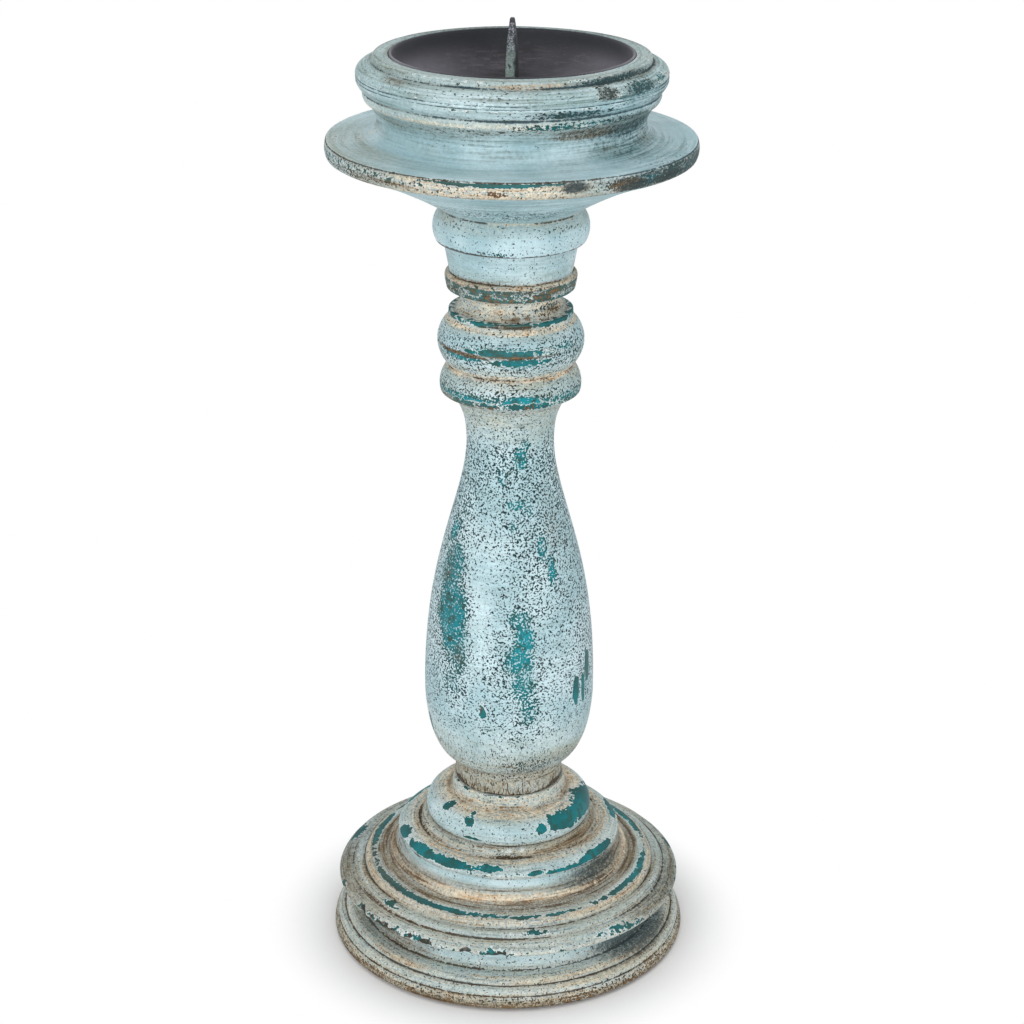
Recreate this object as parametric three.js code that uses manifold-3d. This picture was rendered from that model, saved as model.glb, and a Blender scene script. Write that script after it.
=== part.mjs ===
// Turned wooden candle holder with an iron drip pan and a pricket spike.
// Millimetres, +Z up, origin on the axis at the surface that the holder stands on.

import * as THREE from "three";
import { mergeVertices } from "three/addons/utils/BufferGeometryUtils.js";
import Module from "manifold-3d";

// Fineness of the turned surfaces
const TURN_FACETS = 32;
const SMALL_FACETS = 16;
const CURVE_STEPS = 3;
const BELLY_STEPS = 9;
const BELLY_FOOT_STEPS = 6;
const WELD_DISTANCE = 1e-4;

// Fits between the pieces
const GLUE_LINE = 0.15;
const SOCKET_CLEARANCE = 0.3;

// Felt pads under the base
const PAD_COUNT = 4;
const PAD_RADIUS = 9;
const PAD_THICKNESS = 1.6;
const PAD_EDGE_INSET = 7;

// Round tenons at both ends of the baluster
const TENON_RADIUS = 13;
const FOOT_TENON_LENGTH = 34;

// Iron drip pan
const PAN_FLOOR_RADIUS = 32;
const PAN_WALL_WIDTH = 17.8;
const PAN_DEPTH = 16.6;
const PAN_GAUGE = 1.2;
const PAN_RIM_RISE = 0.9;
const PAN_PROUD = 0.5;

// Pricket spike, forged square and swelling above its shoulder, and round below
const SPIKE_SIDES = 4;
const SPIKE_HEIGHT = 31;
const SPIKE_FOOT_WIDTH = 4.7;
const SPIKE_TIP_WIDTH = 1.8;
const SPIKE_SWELL = 0.6;
const SPIKE_TURN = THREE.MathUtils.degToRad(14);
const SPIKE_TIP_BEVEL = 0.3;
const SPIKE_SHOULDER_RADIUS = 6;
const SPIKE_SHOULDER_HEIGHT = 1.6;
const SPIKE_SHANK_RADIUS = 2.6;
const SPIKE_SHANK_LENGTH = 28;
const SPIKE_POINT_LENGTH = 5;

// Candle cup and drip plate, turned in one, from the lip down
const CUP_LIP_WIDTH = 5.2;
const CUP_LIP_ROUND_WIDTH = 1.3;
const CUP_LIP_ROUND_HEIGHT = 0.8;
const CUP_LIP_FLARE = 0.3;
const CUP_LIP_HEIGHT = 2.3;
const CUP_TORUS_WIDTH = 6.9;
const CUP_TORUS_HEIGHT = 4.6;
const CUP_FILLET_HEIGHT = 0.4;
const CUP_BAND_INSET = 3.2;
const CUP_BAND_HEIGHT = 4.6;
const CUP_BAND_ROUND = 0.4;
const CUP_RIDGE_HEIGHT = 4.2;
const CUP_RIDGE_TAPER = 0.9;
const CUP_RIDGE_ROUND = 0.8;
const CUP_RIDGE_UNDERCUT = 0.4;
const CUP_WAIST_INSET = 4.3;
const CUP_WAIST_HEIGHT = 8.7;
const CUP_WAIST_HOLLOW = 0.9;
const PLATE_COVE_WIDTH = 11.6;
const PLATE_COVE_HEIGHT = 7.1;
const PLATE_LEDGE_WIDTH = 9.9;
const PLATE_FALL = 0.2;
const PLATE_EDGE_HEIGHT = 7.2;
const PLATE_EDGE_ROUND = 0.8;
const CUP_WEB = 11.3;

// Capital, from the drip plate down
const BELL_SETBACK = 1.4;
const BELL_WIDTH = 46.3;
const BELL_HEIGHT = 21.9;
const BELL_HOLLOW = 1.4;
const BELL_GROOVE_DEPTH = 0.9;
const BELL_GROOVE_HEIGHT = 1.5;
const CAPITAL_BEAD_HEIGHT = 13.1;
const CAPITAL_BEAD_ROUND = 2.1;
const CAPITAL_BEAD_FLARE = 1.3;

// Baluster, from the capital down
const NECK_TOP_RADIUS = 28.9;
const NECK_HEIGHT = 13.5;
const NECK_TAPER = 2.4;
const RING_WIDTH = 2;
const RING_SLOPE_HEIGHT = 1.9;
const RING_HEIGHT = 5.5;
const RING_TAPER = 0.9;
const SPOOL_INSET = 3.4;
const SPOOL_HEIGHT = 9.5;
const SPOOL_HOLLOW = 2.5;
const FILLET_WIDTH = 2.7;
const FILLET_HEIGHT = 2.1;
const FILLET_SLOPE_WIDTH = 0.6;
const FILLET_SLOPE_HEIGHT = 1.7;
const TORUS_WIDTH = 4.2;
const TORUS_UPPER_HEIGHT = 9.2;
const TORUS_LOWER_HEIGHT = 9.6;
const TORUS_UNDERCUT = 4;
const TORUS_ROUND = 0.9;
const SCRIBED_LINE_DEPTH = 0.6;
const SCRIBED_LINE_HEIGHT = 1;
const BEAD_CREASE = 0.9;
const BEAD_HEIGHT = 12.3;
const BEAD_FLARE = 3.5;
const BEAD_ROUND = 1.8;
const STEM_RADIUS = 19.2;
const STEM_COVE_HEIGHT = 21.8;
const STEM_EASE = 30;
const BELLY_RADIUS = 38.3;
const BELLY_TOP_HEIGHT = 118.7;
const BELLY_FULLNESS = 66;
const BELLY_FOOT_HEIGHT = 35.4;
const COLLAR_RADIUS = 24.4;
const COLLAR_LEDGE = 0.5;
const COLLAR_UPPER_HEIGHT = 4.4;
const COLLAR_LOWER_HEIGHT = 6.3;

// Base dome, from the collar's seat outwards and down
const SEAT_RIM_WIDTH = 1;
const SEAT_RIM_FLARE = 0.7;
const SEAT_RIM_HEIGHT = 5.2;
const SEAT_HOLLOW_WIDTH = 2.5;
const SEAT_HOLLOW_DEPTH = 1.5;
const DOME_TORUS_WIDTH = 9.3;
const DOME_TORUS_HEIGHT = 7.9;
const DOME_TORUS_UNDERCUT = 2.2;
const DOME_TORUS_UNDER_HEIGHT = 4.7;
const DOME_RIDGE_WIDTH = 4.8;
const DOME_RIDGE_HEIGHT = 3;
const DOME_RIDGE_ROUND = 0.8;
const DOME_VALLEY_WIDTH = 2.5;
const DOME_VALLEY_DEPTH = 0.7;
const SHOULDER_WIDTH = 8.3;
const SHOULDER_HEIGHT = 4;
const SHOULDER_ROUND = 1;
const SHOULDER_EDGE_HEIGHT = 1.6;
const SHOULDER_EDGE_INSET = 0.8;
const DOME_COVE_WIDTH = 9.8;
const DOME_COVE_HEIGHT = 11.1;
const COVE_LEDGE_WIDTH = 1.2;
const COVE_LEDGE_FALL = 0.4;
const DOME_OVOLO_WIDTH = 5.6;
const DOME_OVOLO_HEIGHT = 4.1;
const DOME_BEAD_WIDTH = 5.4;
const DOME_BEAD_FALL = 1.9;
const DOME_BEAD_ROUND = 1;
const RIM_WIDTH = 6.7;
const RIM_HEIGHT = 3.5;
const RIM_ROUND = 0.9;
const RIM_EDGE_HEIGHT = 1.4;
const RIM_EDGE_INSET = 0.6;

// Base plinth, from the dome's underside down
const RIM_OVERHANG = 6.6;
const SCOTIA_INSET = 2.3;
const SCOTIA_HEIGHT = 12.9;
const SCOTIA_HOLLOW = 3.4;
const PLINTH_OVOLO_WIDTH = 6.7;
const PLINTH_OVOLO_HEIGHT = 3.5;
const PLINTH_BEAD_WIDTH = 3.7;
const PLINTH_BEAD_HEIGHT = 3.5;
const PLINTH_BEAD_ROUND = 0.9;
const PLINTH_BAND_FLARE = 1.7;
const PLINTH_BAND_HEIGHT = 5;
const PLINTH_BAND_ROUND = 0.4;

// Centre screw that draws the base up to the baluster
const CENTRE_SHANK_RADIUS = 4;
const CENTRE_BITE = 26;
const CENTRE_POINT_LENGTH = 6;
const CENTRE_HEAD_SIDES = 6;
const CENTRE_HEAD_RADIUS = 7.5;
const CENTRE_HEAD_HEIGHT = 5.5;
const WASHER_RADIUS = 12;
const WASHER_THICKNESS = 2;
const COUNTERBORE_MARGIN = 2;
const COUNTERBORE_DEPTH = 9;

// Countersunk screws that hold the dome to the plinth
const BASE_SCREW_COUNT = 4;
const BASE_SCREW_CIRCLE_RADIUS = 38;
const BASE_SCREW_BITE = 18;
const BASE_SCREW_SHANK_RADIUS = 2.1;
const BASE_SCREW_HEAD_RADIUS = 4.2;
const BASE_SCREW_HEAD_HEIGHT = 3;
const BASE_SCREW_POINT_LENGTH = 6;
const BASE_SCREW_SUNK = 0.4;
const BASE_SCREW_SLOT_WIDTH = 1.2;
const BASE_SCREW_SLOT_DEPTH = 1.1;

// Sizes that follow from the ones above
const SOCKET_RADIUS = TENON_RADIUS + SOCKET_CLEARANCE;
const SPIKE_HOLE_RADIUS = SPIKE_SHANK_RADIUS + SOCKET_CLEARANCE;
const CENTRE_HOLE_RADIUS = CENTRE_SHANK_RADIUS + SOCKET_CLEARANCE;
const COUNTERBORE_RADIUS = WASHER_RADIUS + COUNTERBORE_MARGIN;
const PAN_RADIUS = PAN_FLOOR_RADIUS + PAN_WALL_WIDTH + PAN_GAUGE;
const CANDLE_SEAT_INNER_RADIUS = SPIKE_SHOULDER_RADIUS + SOCKET_CLEARANCE;
const RECESS_RADIUS = PAN_RADIUS + SOCKET_CLEARANCE;
const RECESS_DEPTH = GLUE_LINE + PAN_GAUGE + PAN_DEPTH + PAN_RIM_RISE - PAN_PROUD;

// Draws half of a turned section with moves that are relative to the point reached so far.
// The line runs from the top outwards, down the outside and back, with the air on its left.
class TurnedSection {
  constructor(radius, height) {
    this.points = [new THREE.Vector2(radius, height)];
  }

  get end() {
    return this.points[this.points.length - 1];
  }

  line(outward, upward) {
    this.points.push(new THREE.Vector2(this.end.x + outward, this.end.y + upward));
    return this;
  }

  // Straight line to a radius at the height reached so far
  face(radius) {
    return this.line(radius - this.end.x, 0);
  }

  // Quarter of an ellipse that swells into the air
  ovolo(outward, upward, steps = CURVE_STEPS) {
    return this.quarter(outward, upward, outward * upward < 0, steps);
  }

  // Quarter of an ellipse that is hollowed into the wood
  cove(outward, upward) {
    return this.quarter(outward, upward, outward * upward > 0, CURVE_STEPS);
  }

  quarter(outward, upward, radialFirst, steps) {
    const start = this.end.clone();
    for (let step = 1; step <= steps; step += 1) {
      const turn = ((step / steps) * Math.PI) / 2;
      const early = Math.sin(turn);
      const late = 1 - Math.cos(turn);
      const across = radialFirst ? early : late;
      const along = radialFirst ? late : early;
      this.points.push(new THREE.Vector2(start.x + outward * across, start.y + upward * along));
    }
    return this;
  }

  // Circular arc whose middle stands off its chord by the rise, into the air or, below zero, the wood
  arc(outward, upward, rise) {
    const start = this.end.clone();
    const chord = new THREE.Vector2(outward, upward);
    const half = chord.length() / 2;
    const along = chord.clone().normalize();
    const off = new THREE.Vector2(-along.y, along.x);
    const radius = (half * half + rise * rise) / (2 * rise);
    const sweep = Math.asin(half / radius);
    const steps = CURVE_STEPS + 1;
    for (let step = 1; step <= steps; step += 1) {
      const angle = sweep * ((2 * step) / steps - 1);
      const point = start.clone();
      point.addScaledVector(along, half + radius * Math.sin(angle));
      point.addScaledVector(off, rise - radius * (1 - Math.cos(angle)));
      this.points.push(point);
    }
    return this;
  }

  // Double curve that leaves and arrives along the axis, with a handle at each end
  swell(outward, upward, startHandle, endHandle) {
    const start = this.end.clone();
    const finish = new THREE.Vector2(start.x + outward, start.y + upward);
    const way = Math.sign(upward);
    const curve = new THREE.CubicBezierCurve(
      start,
      new THREE.Vector2(start.x, start.y + way * startHandle),
      new THREE.Vector2(finish.x, finish.y - way * endHandle),
      finish,
    );
    this.points.push(...curve.getPoints(BELLY_STEPS).slice(1));
    return this;
  }

  // V-shaped line cut round the surface
  scribe(depth, height) {
    return this.line(-depth, -height / 2).line(depth, -height / 2);
  }

  close() {
    this.points.push(this.points[0].clone());
    return this;
  }

  // Turned solid about the Z axis
  turn(facets = TURN_FACETS) {
    const upward = this.points.slice().reverse();
    return new THREE.LatheGeometry(upward, facets).rotateX(Math.PI / 2);
  }
}

const wasm = await Module();
wasm.setup();

function solidOf(geometry) {
  const bare = geometry.clone();
  bare.deleteAttribute("normal");
  bare.deleteAttribute("uv");
  const merged = mergeVertices(bare, WELD_DISTANCE);
  const corners = merged.index.array;
  const triangles = [];
  for (let i = 0; i < corners.length; i += 3) {
    const [a, b, c] = corners.slice(i, i + 3);
    if (a !== b && b !== c && c !== a) {
      triangles.push(a, b, c);
    }
  }
  const mesh = new wasm.Mesh({
    numProp: 3,
    vertProperties: new Float32Array(merged.attributes.position.array),
    triVerts: new Uint32Array(triangles),
  });
  return new wasm.Manifold(mesh);
}

function geometryOf(solid) {
  const mesh = solid.getMesh();
  const geometry = new THREE.BufferGeometry();
  geometry.setAttribute("position", new THREE.BufferAttribute(mesh.vertProperties, 3));
  geometry.setIndex(new THREE.BufferAttribute(mesh.triVerts, 1));
  geometry.computeVertexNormals();
  return geometry;
}

function cut(geometry, tools) {
  let solid = solidOf(geometry);
  for (const tool of tools) {
    solid = solid.subtract(solidOf(tool));
  }
  return geometryOf(solid);
}

function join(first, second) {
  return geometryOf(solidOf(first).add(solidOf(second)));
}

// Points spread evenly round the axis, the first one turned from +X by a share of the spacing
function ringPlaces(count, radius, share) {
  const places = [];
  for (let i = 0; i < count; i += 1) {
    const angle = ((i + share) / count) * 2 * Math.PI;
    places.push(new THREE.Vector3(radius * Math.cos(angle), radius * Math.sin(angle), 0));
  }
  return places;
}

const paintedWood = new THREE.MeshStandardMaterial({ color: 0xb9c9c6, roughness: 0.8, metalness: 0 });
const blackenedIron = new THREE.MeshStandardMaterial({ color: 0x2c2b30, roughness: 0.45, metalness: 0.9 });
const zincSteel = new THREE.MeshStandardMaterial({ color: 0x9a9c9e, roughness: 0.4, metalness: 1 });
const brownFelt = new THREE.MeshStandardMaterial({ color: 0x4a3a2c, roughness: 1, metalness: 0 });

function piece(name, geometry, material, position = new THREE.Vector3()) {
  const mesh = new THREE.Mesh(geometry, material);
  mesh.name = name;
  mesh.position.copy(position);
  return mesh;
}

// Height from the lowest to the highest point of a section
function heightOf(section) {
  const heights = section.points.map((point) => point.y);
  return Math.max(...heights) - Math.min(...heights);
}

function widestOf(section) {
  return Math.max(...section.points.map((point) => point.x));
}

// Sections of the wooden pieces, each drawn with zero at its upper seat

function domeSection() {
  const section = new TurnedSection(SOCKET_RADIUS, 0)
    .face(COLLAR_RADIUS + SEAT_RIM_WIDTH)
    .line(SEAT_RIM_FLARE, -SEAT_RIM_HEIGHT)
    .cove(SEAT_HOLLOW_WIDTH, -SEAT_HOLLOW_DEPTH)
    .ovolo(DOME_TORUS_WIDTH, -DOME_TORUS_HEIGHT)
    .ovolo(-DOME_TORUS_UNDERCUT, -DOME_TORUS_UNDER_HEIGHT)
    .arc(DOME_RIDGE_WIDTH, -DOME_RIDGE_HEIGHT, DOME_RIDGE_ROUND)
    .line(DOME_VALLEY_WIDTH / 2, -DOME_VALLEY_DEPTH)
    .line(DOME_VALLEY_WIDTH / 2, DOME_VALLEY_DEPTH / 2)
    .arc(SHOULDER_WIDTH, -SHOULDER_HEIGHT, SHOULDER_ROUND)
    .line(-SHOULDER_EDGE_INSET, -SHOULDER_EDGE_HEIGHT)
    .cove(DOME_COVE_WIDTH, -DOME_COVE_HEIGHT)
    .line(COVE_LEDGE_WIDTH, -COVE_LEDGE_FALL)
    .ovolo(DOME_OVOLO_WIDTH, -DOME_OVOLO_HEIGHT)
    .arc(DOME_BEAD_WIDTH, -DOME_BEAD_FALL, DOME_BEAD_ROUND)
    .arc(RIM_WIDTH, -RIM_HEIGHT, RIM_ROUND)
    .line(-RIM_EDGE_INSET, -RIM_EDGE_HEIGHT);
  const underside = section.end.y;
  const socketDepth = FOOT_TENON_LENGTH + SOCKET_CLEARANCE - GLUE_LINE;
  section.face(CENTRE_HOLE_RADIUS).line(0, -underside - socketDepth).face(SOCKET_RADIUS);
  return section.close();
}

function plinthSection(rimRadius) {
  const section = new TurnedSection(CENTRE_HOLE_RADIUS, 0)
    .face(rimRadius - RIM_EDGE_INSET - RIM_OVERHANG)
    .arc(-SCOTIA_INSET, -SCOTIA_HEIGHT, -SCOTIA_HOLLOW)
    .ovolo(PLINTH_OVOLO_WIDTH, -PLINTH_OVOLO_HEIGHT)
    .arc(PLINTH_BEAD_WIDTH, -PLINTH_BEAD_HEIGHT, PLINTH_BEAD_ROUND)
    .arc(PLINTH_BAND_FLARE, -PLINTH_BAND_HEIGHT, PLINTH_BAND_ROUND)
    .face(COUNTERBORE_RADIUS)
    .line(0, COUNTERBORE_DEPTH)
    .face(CENTRE_HOLE_RADIUS);
  return section.close();
}

function balusterSection(headTenonLength, spikeHoleDepth, centreHoleDepth) {
  const section = new TurnedSection(0, headTenonLength - spikeHoleDepth)
    .face(SPIKE_HOLE_RADIUS)
    .line(0, spikeHoleDepth)
    .face(TENON_RADIUS)
    .line(0, -headTenonLength)
    .face(NECK_TOP_RADIUS)
    .line(-NECK_TAPER, -NECK_HEIGHT)
    .ovolo(RING_WIDTH, -RING_SLOPE_HEIGHT)
    .line(-RING_TAPER, -RING_HEIGHT)
    .line(-SPOOL_INSET, 0)
    .arc(0, -SPOOL_HEIGHT, -SPOOL_HOLLOW)
    .line(FILLET_WIDTH, 0)
    .line(0, -FILLET_HEIGHT)
    .line(FILLET_SLOPE_WIDTH, -FILLET_SLOPE_HEIGHT)
    .arc(TORUS_WIDTH, -TORUS_UPPER_HEIGHT, TORUS_ROUND)
    .scribe(SCRIBED_LINE_DEPTH, SCRIBED_LINE_HEIGHT)
    .arc(-TORUS_UNDERCUT, -TORUS_LOWER_HEIGHT, TORUS_ROUND)
    .line(-BEAD_CREASE, -BEAD_CREASE)
    .arc(BEAD_FLARE, -BEAD_HEIGHT, BEAD_ROUND);
  section
    .cove(STEM_RADIUS - section.end.x, -STEM_COVE_HEIGHT)
    .swell(BELLY_RADIUS - STEM_RADIUS, -BELLY_TOP_HEIGHT, STEM_EASE, BELLY_FULLNESS)
    .ovolo(COLLAR_RADIUS + COLLAR_LEDGE - BELLY_RADIUS, -BELLY_FOOT_HEIGHT, BELLY_FOOT_STEPS)
    .face(COLLAR_RADIUS)
    .line(0, -COLLAR_UPPER_HEIGHT)
    .scribe(SCRIBED_LINE_DEPTH, SCRIBED_LINE_HEIGHT)
    .line(0, -COLLAR_LOWER_HEIGHT)
    .face(TENON_RADIUS)
    .line(0, -FOOT_TENON_LENGTH)
    .face(CENTRE_HOLE_RADIUS)
    .line(0, centreHoleDepth)
    .face(0);
  return section;
}

function capitalSection(plateRadius) {
  const section = new TurnedSection(SOCKET_RADIUS, 0)
    .face(plateRadius - BELL_SETBACK)
    .arc(-BELL_WIDTH, -BELL_HEIGHT, -BELL_HOLLOW)
    .scribe(BELL_GROOVE_DEPTH, BELL_GROOVE_HEIGHT)
    .arc(CAPITAL_BEAD_FLARE, -CAPITAL_BEAD_HEIGHT, CAPITAL_BEAD_ROUND)
    .face(SOCKET_RADIUS);
  return section.close();
}

function cupSection() {
  const section = new TurnedSection(SPIKE_HOLE_RADIUS, -RECESS_DEPTH)
    .face(PAN_FLOOR_RADIUS)
    .cove(RECESS_RADIUS - PAN_FLOOR_RADIUS, RECESS_DEPTH)
    .line(CUP_LIP_WIDTH, 0)
    .ovolo(CUP_LIP_ROUND_WIDTH, -CUP_LIP_ROUND_HEIGHT)
    .line(CUP_LIP_FLARE, -CUP_LIP_HEIGHT)
    .ovolo(CUP_TORUS_WIDTH, -CUP_TORUS_HEIGHT)
    .scribe(SCRIBED_LINE_DEPTH, SCRIBED_LINE_HEIGHT)
    .line(0, -CUP_FILLET_HEIGHT)
    .scribe(SCRIBED_LINE_DEPTH, SCRIBED_LINE_HEIGHT)
    .arc(-CUP_BAND_INSET, -CUP_BAND_HEIGHT, CUP_BAND_ROUND)
    .arc(-CUP_RIDGE_TAPER, -CUP_RIDGE_HEIGHT, CUP_RIDGE_ROUND)
    .line(-CUP_RIDGE_UNDERCUT, 0)
    .arc(-CUP_WAIST_INSET, -CUP_WAIST_HEIGHT, -CUP_WAIST_HOLLOW)
    .cove(PLATE_COVE_WIDTH, -PLATE_COVE_HEIGHT)
    .line(PLATE_LEDGE_WIDTH, -PLATE_FALL)
    .arc(-PLATE_FALL, -PLATE_EDGE_HEIGHT, PLATE_EDGE_ROUND);
  const underside = section.end.y;
  section
    .face(SOCKET_RADIUS)
    .line(0, -RECESS_DEPTH - CUP_WEB - underside)
    .face(SPIKE_HOLE_RADIUS);
  return section.close();
}

// Sections of the iron pieces

// The candle stands on the ring of the floor that lies outside the spike's shoulder
function panSection() {
  return new TurnedSection(SPIKE_HOLE_RADIUS, PAN_GAUGE)
    .face(CANDLE_SEAT_INNER_RADIUS)
    .face(PAN_FLOOR_RADIUS)
    .cove(PAN_WALL_WIDTH, PAN_DEPTH)
    .ovolo(PAN_GAUGE / 2, PAN_RIM_RISE)
    .ovolo(PAN_GAUGE / 2, -PAN_RIM_RISE)
    .ovolo(-PAN_WALL_WIDTH - PAN_GAUGE, -PAN_DEPTH - PAN_GAUGE)
    .face(SPIKE_HOLE_RADIUS)
    .close();
}

function spikeGeometry() {
  const shank = new TurnedSection(0, SPIKE_SHOULDER_HEIGHT)
    .face(SPIKE_SHOULDER_RADIUS)
    .line(0, -SPIKE_SHOULDER_HEIGHT)
    .face(SPIKE_SHANK_RADIUS)
    .line(0, SPIKE_POINT_LENGTH - SPIKE_SHANK_LENGTH)
    .line(-SPIKE_SHANK_RADIUS, -SPIKE_POINT_LENGTH);
  const cornerShare = 0.5 / Math.cos(Math.PI / SPIKE_SIDES);
  const tipCorner = SPIKE_TIP_WIDTH * cornerShare;
  const footCorner = SPIKE_FOOT_WIDTH * cornerShare;
  const blade = new TurnedSection(0, SPIKE_HEIGHT + SPIKE_TIP_BEVEL)
    .face(tipCorner / 2)
    .line(tipCorner / 2, -SPIKE_TIP_BEVEL)
    .arc(footCorner - tipCorner, SPIKE_SHOULDER_HEIGHT / 2 - SPIKE_HEIGHT, SPIKE_SWELL * 2 * cornerShare)
    .face(0);
  const forged = blade.turn(SPIKE_SIDES).rotateZ(Math.PI / SPIKE_SIDES - SPIKE_TURN);
  return join(shank.turn(SMALL_FACETS), forged);
}

// Screws and their holes, with zero at the face of the head

function baseScrewSection(reach, clearance) {
  const shankRadius = BASE_SCREW_SHANK_RADIUS + clearance;
  const headRadius = BASE_SCREW_HEAD_RADIUS + clearance;
  return new TurnedSection(0, reach + clearance)
    .line(shankRadius, -BASE_SCREW_POINT_LENGTH)
    .line(0, BASE_SCREW_POINT_LENGTH + BASE_SCREW_HEAD_HEIGHT - reach)
    .line(headRadius - shankRadius, -BASE_SCREW_HEAD_HEIGHT)
    .line(0, -clearance - BASE_SCREW_SUNK)
    .face(0);
}

function baseScrewGeometry(reach) {
  const slot = new THREE.BoxGeometry(
    2 * (BASE_SCREW_HEAD_RADIUS + SOCKET_CLEARANCE),
    BASE_SCREW_SLOT_WIDTH,
    2 * (BASE_SCREW_SLOT_DEPTH + BASE_SCREW_SUNK),
  );
  return cut(baseScrewSection(reach, 0).turn(SMALL_FACETS), [slot.translate(0, 0, -BASE_SCREW_SUNK)]);
}

function centreScrewGeometry(length) {
  const shank = new TurnedSection(0, length)
    .line(CENTRE_SHANK_RADIUS, -CENTRE_POINT_LENGTH)
    .line(0, CENTRE_POINT_LENGTH - length - CENTRE_HEAD_HEIGHT / 2)
    .face(0);
  const head = new TurnedSection(0, 0)
    .face(CENTRE_HEAD_RADIUS)
    .line(0, -CENTRE_HEAD_HEIGHT)
    .face(0);
  return join(shank.turn(SMALL_FACETS), head.turn(CENTRE_HEAD_SIDES));
}

function washerSection() {
  return new TurnedSection(CENTRE_HOLE_RADIUS, WASHER_THICKNESS)
    .face(WASHER_RADIUS)
    .line(0, -WASHER_THICKNESS)
    .face(CENTRE_HOLE_RADIUS)
    .close();
}

function padSection() {
  return new TurnedSection(0, PAD_THICKNESS - GLUE_LINE)
    .face(PAD_RADIUS)
    .line(0, GLUE_LINE - PAD_THICKNESS)
    .face(0);
}

// Levels above the standing surface
const dome = domeSection();
const plinth = plinthSection(widestOf(dome));
const cup = cupSection();
const capital = capitalSection(widestOf(cup));
const plinthHeight = heightOf(plinth);
const domeHeight = heightOf(dome);
const plinthLevel = PAD_THICKNESS + plinthHeight;
const domeLevel = plinthLevel + GLUE_LINE + domeHeight;

// Heights of the head's pieces above the baluster's upper shoulder
const capitalRise = GLUE_LINE + heightOf(capital);
const cupRise = capitalRise + GLUE_LINE + heightOf(cup);
const panRise = cupRise - RECESS_DEPTH + GLUE_LINE;
const spikeRise = panRise + PAN_GAUGE + GLUE_LINE;
const headTenonLength = cupRise - RECESS_DEPTH - CUP_WEB - SOCKET_CLEARANCE;
const spikeHoleDepth = headTenonLength - spikeRise + SPIKE_SHANK_LENGTH + SOCKET_CLEARANCE;
const centreHoleDepth = CENTRE_BITE + SOCKET_CLEARANCE;
const baluster = balusterSection(headTenonLength, spikeHoleDepth, centreHoleDepth);
const shoulderLevel = domeLevel + GLUE_LINE + heightOf(baluster) - headTenonLength - FOOT_TENON_LENGTH;

// Base: pads, plinth, dome and the screws that draw them together
const base = new THREE.Group();
const padPlaces = ringPlaces(PAD_COUNT, widestOf(plinth) - PAD_EDGE_INSET - PAD_RADIUS, 0.5);
padPlaces.forEach((place, i) => {
  base.add(piece(`felt_pad_${i + 1}`, padSection().turn(SMALL_FACETS), brownFelt, place));
});

const screwPlaces = ringPlaces(BASE_SCREW_COUNT, BASE_SCREW_CIRCLE_RADIUS, 0);
const screwFace = PAD_THICKNESS + BASE_SCREW_SUNK;
const screwReach = plinthLevel + BASE_SCREW_BITE - screwFace;
function screwHolesFrom(level) {
  return screwPlaces.map((place) => {
    const hole = baseScrewSection(screwReach, SOCKET_CLEARANCE).turn(SMALL_FACETS);
    return hole.translate(place.x, place.y, screwFace - level);
  });
}

const plinthPlace = new THREE.Vector3(0, 0, plinthLevel);
const domePlace = new THREE.Vector3(0, 0, domeLevel);
base.add(piece("base_plinth", cut(plinth.turn(), screwHolesFrom(plinthLevel)), paintedWood, plinthPlace));
base.add(piece("base_dome", cut(dome.turn(), screwHolesFrom(domeLevel)), paintedWood, domePlace));
screwPlaces.forEach((place, i) => {
  const position = new THREE.Vector3(place.x, place.y, screwFace);
  base.add(piece(`base_screw_${i + 1}`, baseScrewGeometry(screwReach), zincSteel, position));
});

const washerLevel = PAD_THICKNESS + COUNTERBORE_DEPTH - GLUE_LINE - WASHER_THICKNESS;
const headLevel = washerLevel - GLUE_LINE;
const centreLength = domeLevel + GLUE_LINE - FOOT_TENON_LENGTH + CENTRE_BITE - headLevel;
const centreScrew = centreScrewGeometry(centreLength);
const washer = washerSection().turn(SMALL_FACETS);
base.add(piece("centre_washer", washer, zincSteel, new THREE.Vector3(0, 0, washerLevel)));
base.add(piece("centre_screw", centreScrew, zincSteel, new THREE.Vector3(0, 0, headLevel)));

// Stem and head, placed from the baluster's upper shoulder
const upper = new THREE.Group();
upper.position.z = shoulderLevel;
upper.add(piece("baluster", baluster.turn(), paintedWood));
upper.add(piece("capital", capital.turn(), paintedWood, new THREE.Vector3(0, 0, capitalRise)));
upper.add(piece("candle_cup", cup.turn(), paintedWood, new THREE.Vector3(0, 0, cupRise)));
upper.add(piece("drip_pan", panSection().turn(), blackenedIron, new THREE.Vector3(0, 0, panRise)));
upper.add(piece("spike", spikeGeometry(), blackenedIron, new THREE.Vector3(0, 0, spikeRise)));

const candleHolder = new THREE.Group();
candleHolder.add(base, upper);

export default candleHolder;
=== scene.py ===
"""Dressing of a turned candle holder: worn chalk paint on wood, a blackened iron pan and its pricket spike.

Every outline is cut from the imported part, turned again in fine rows, worn at its edges and painted in layers.
Heights are millimetres above the table and angles are degrees round from the front, to the viewer's right.
"""

import logging
import math
from dataclasses import dataclass
from enum import Enum
from typing import Any, Mapping, Sequence

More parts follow.
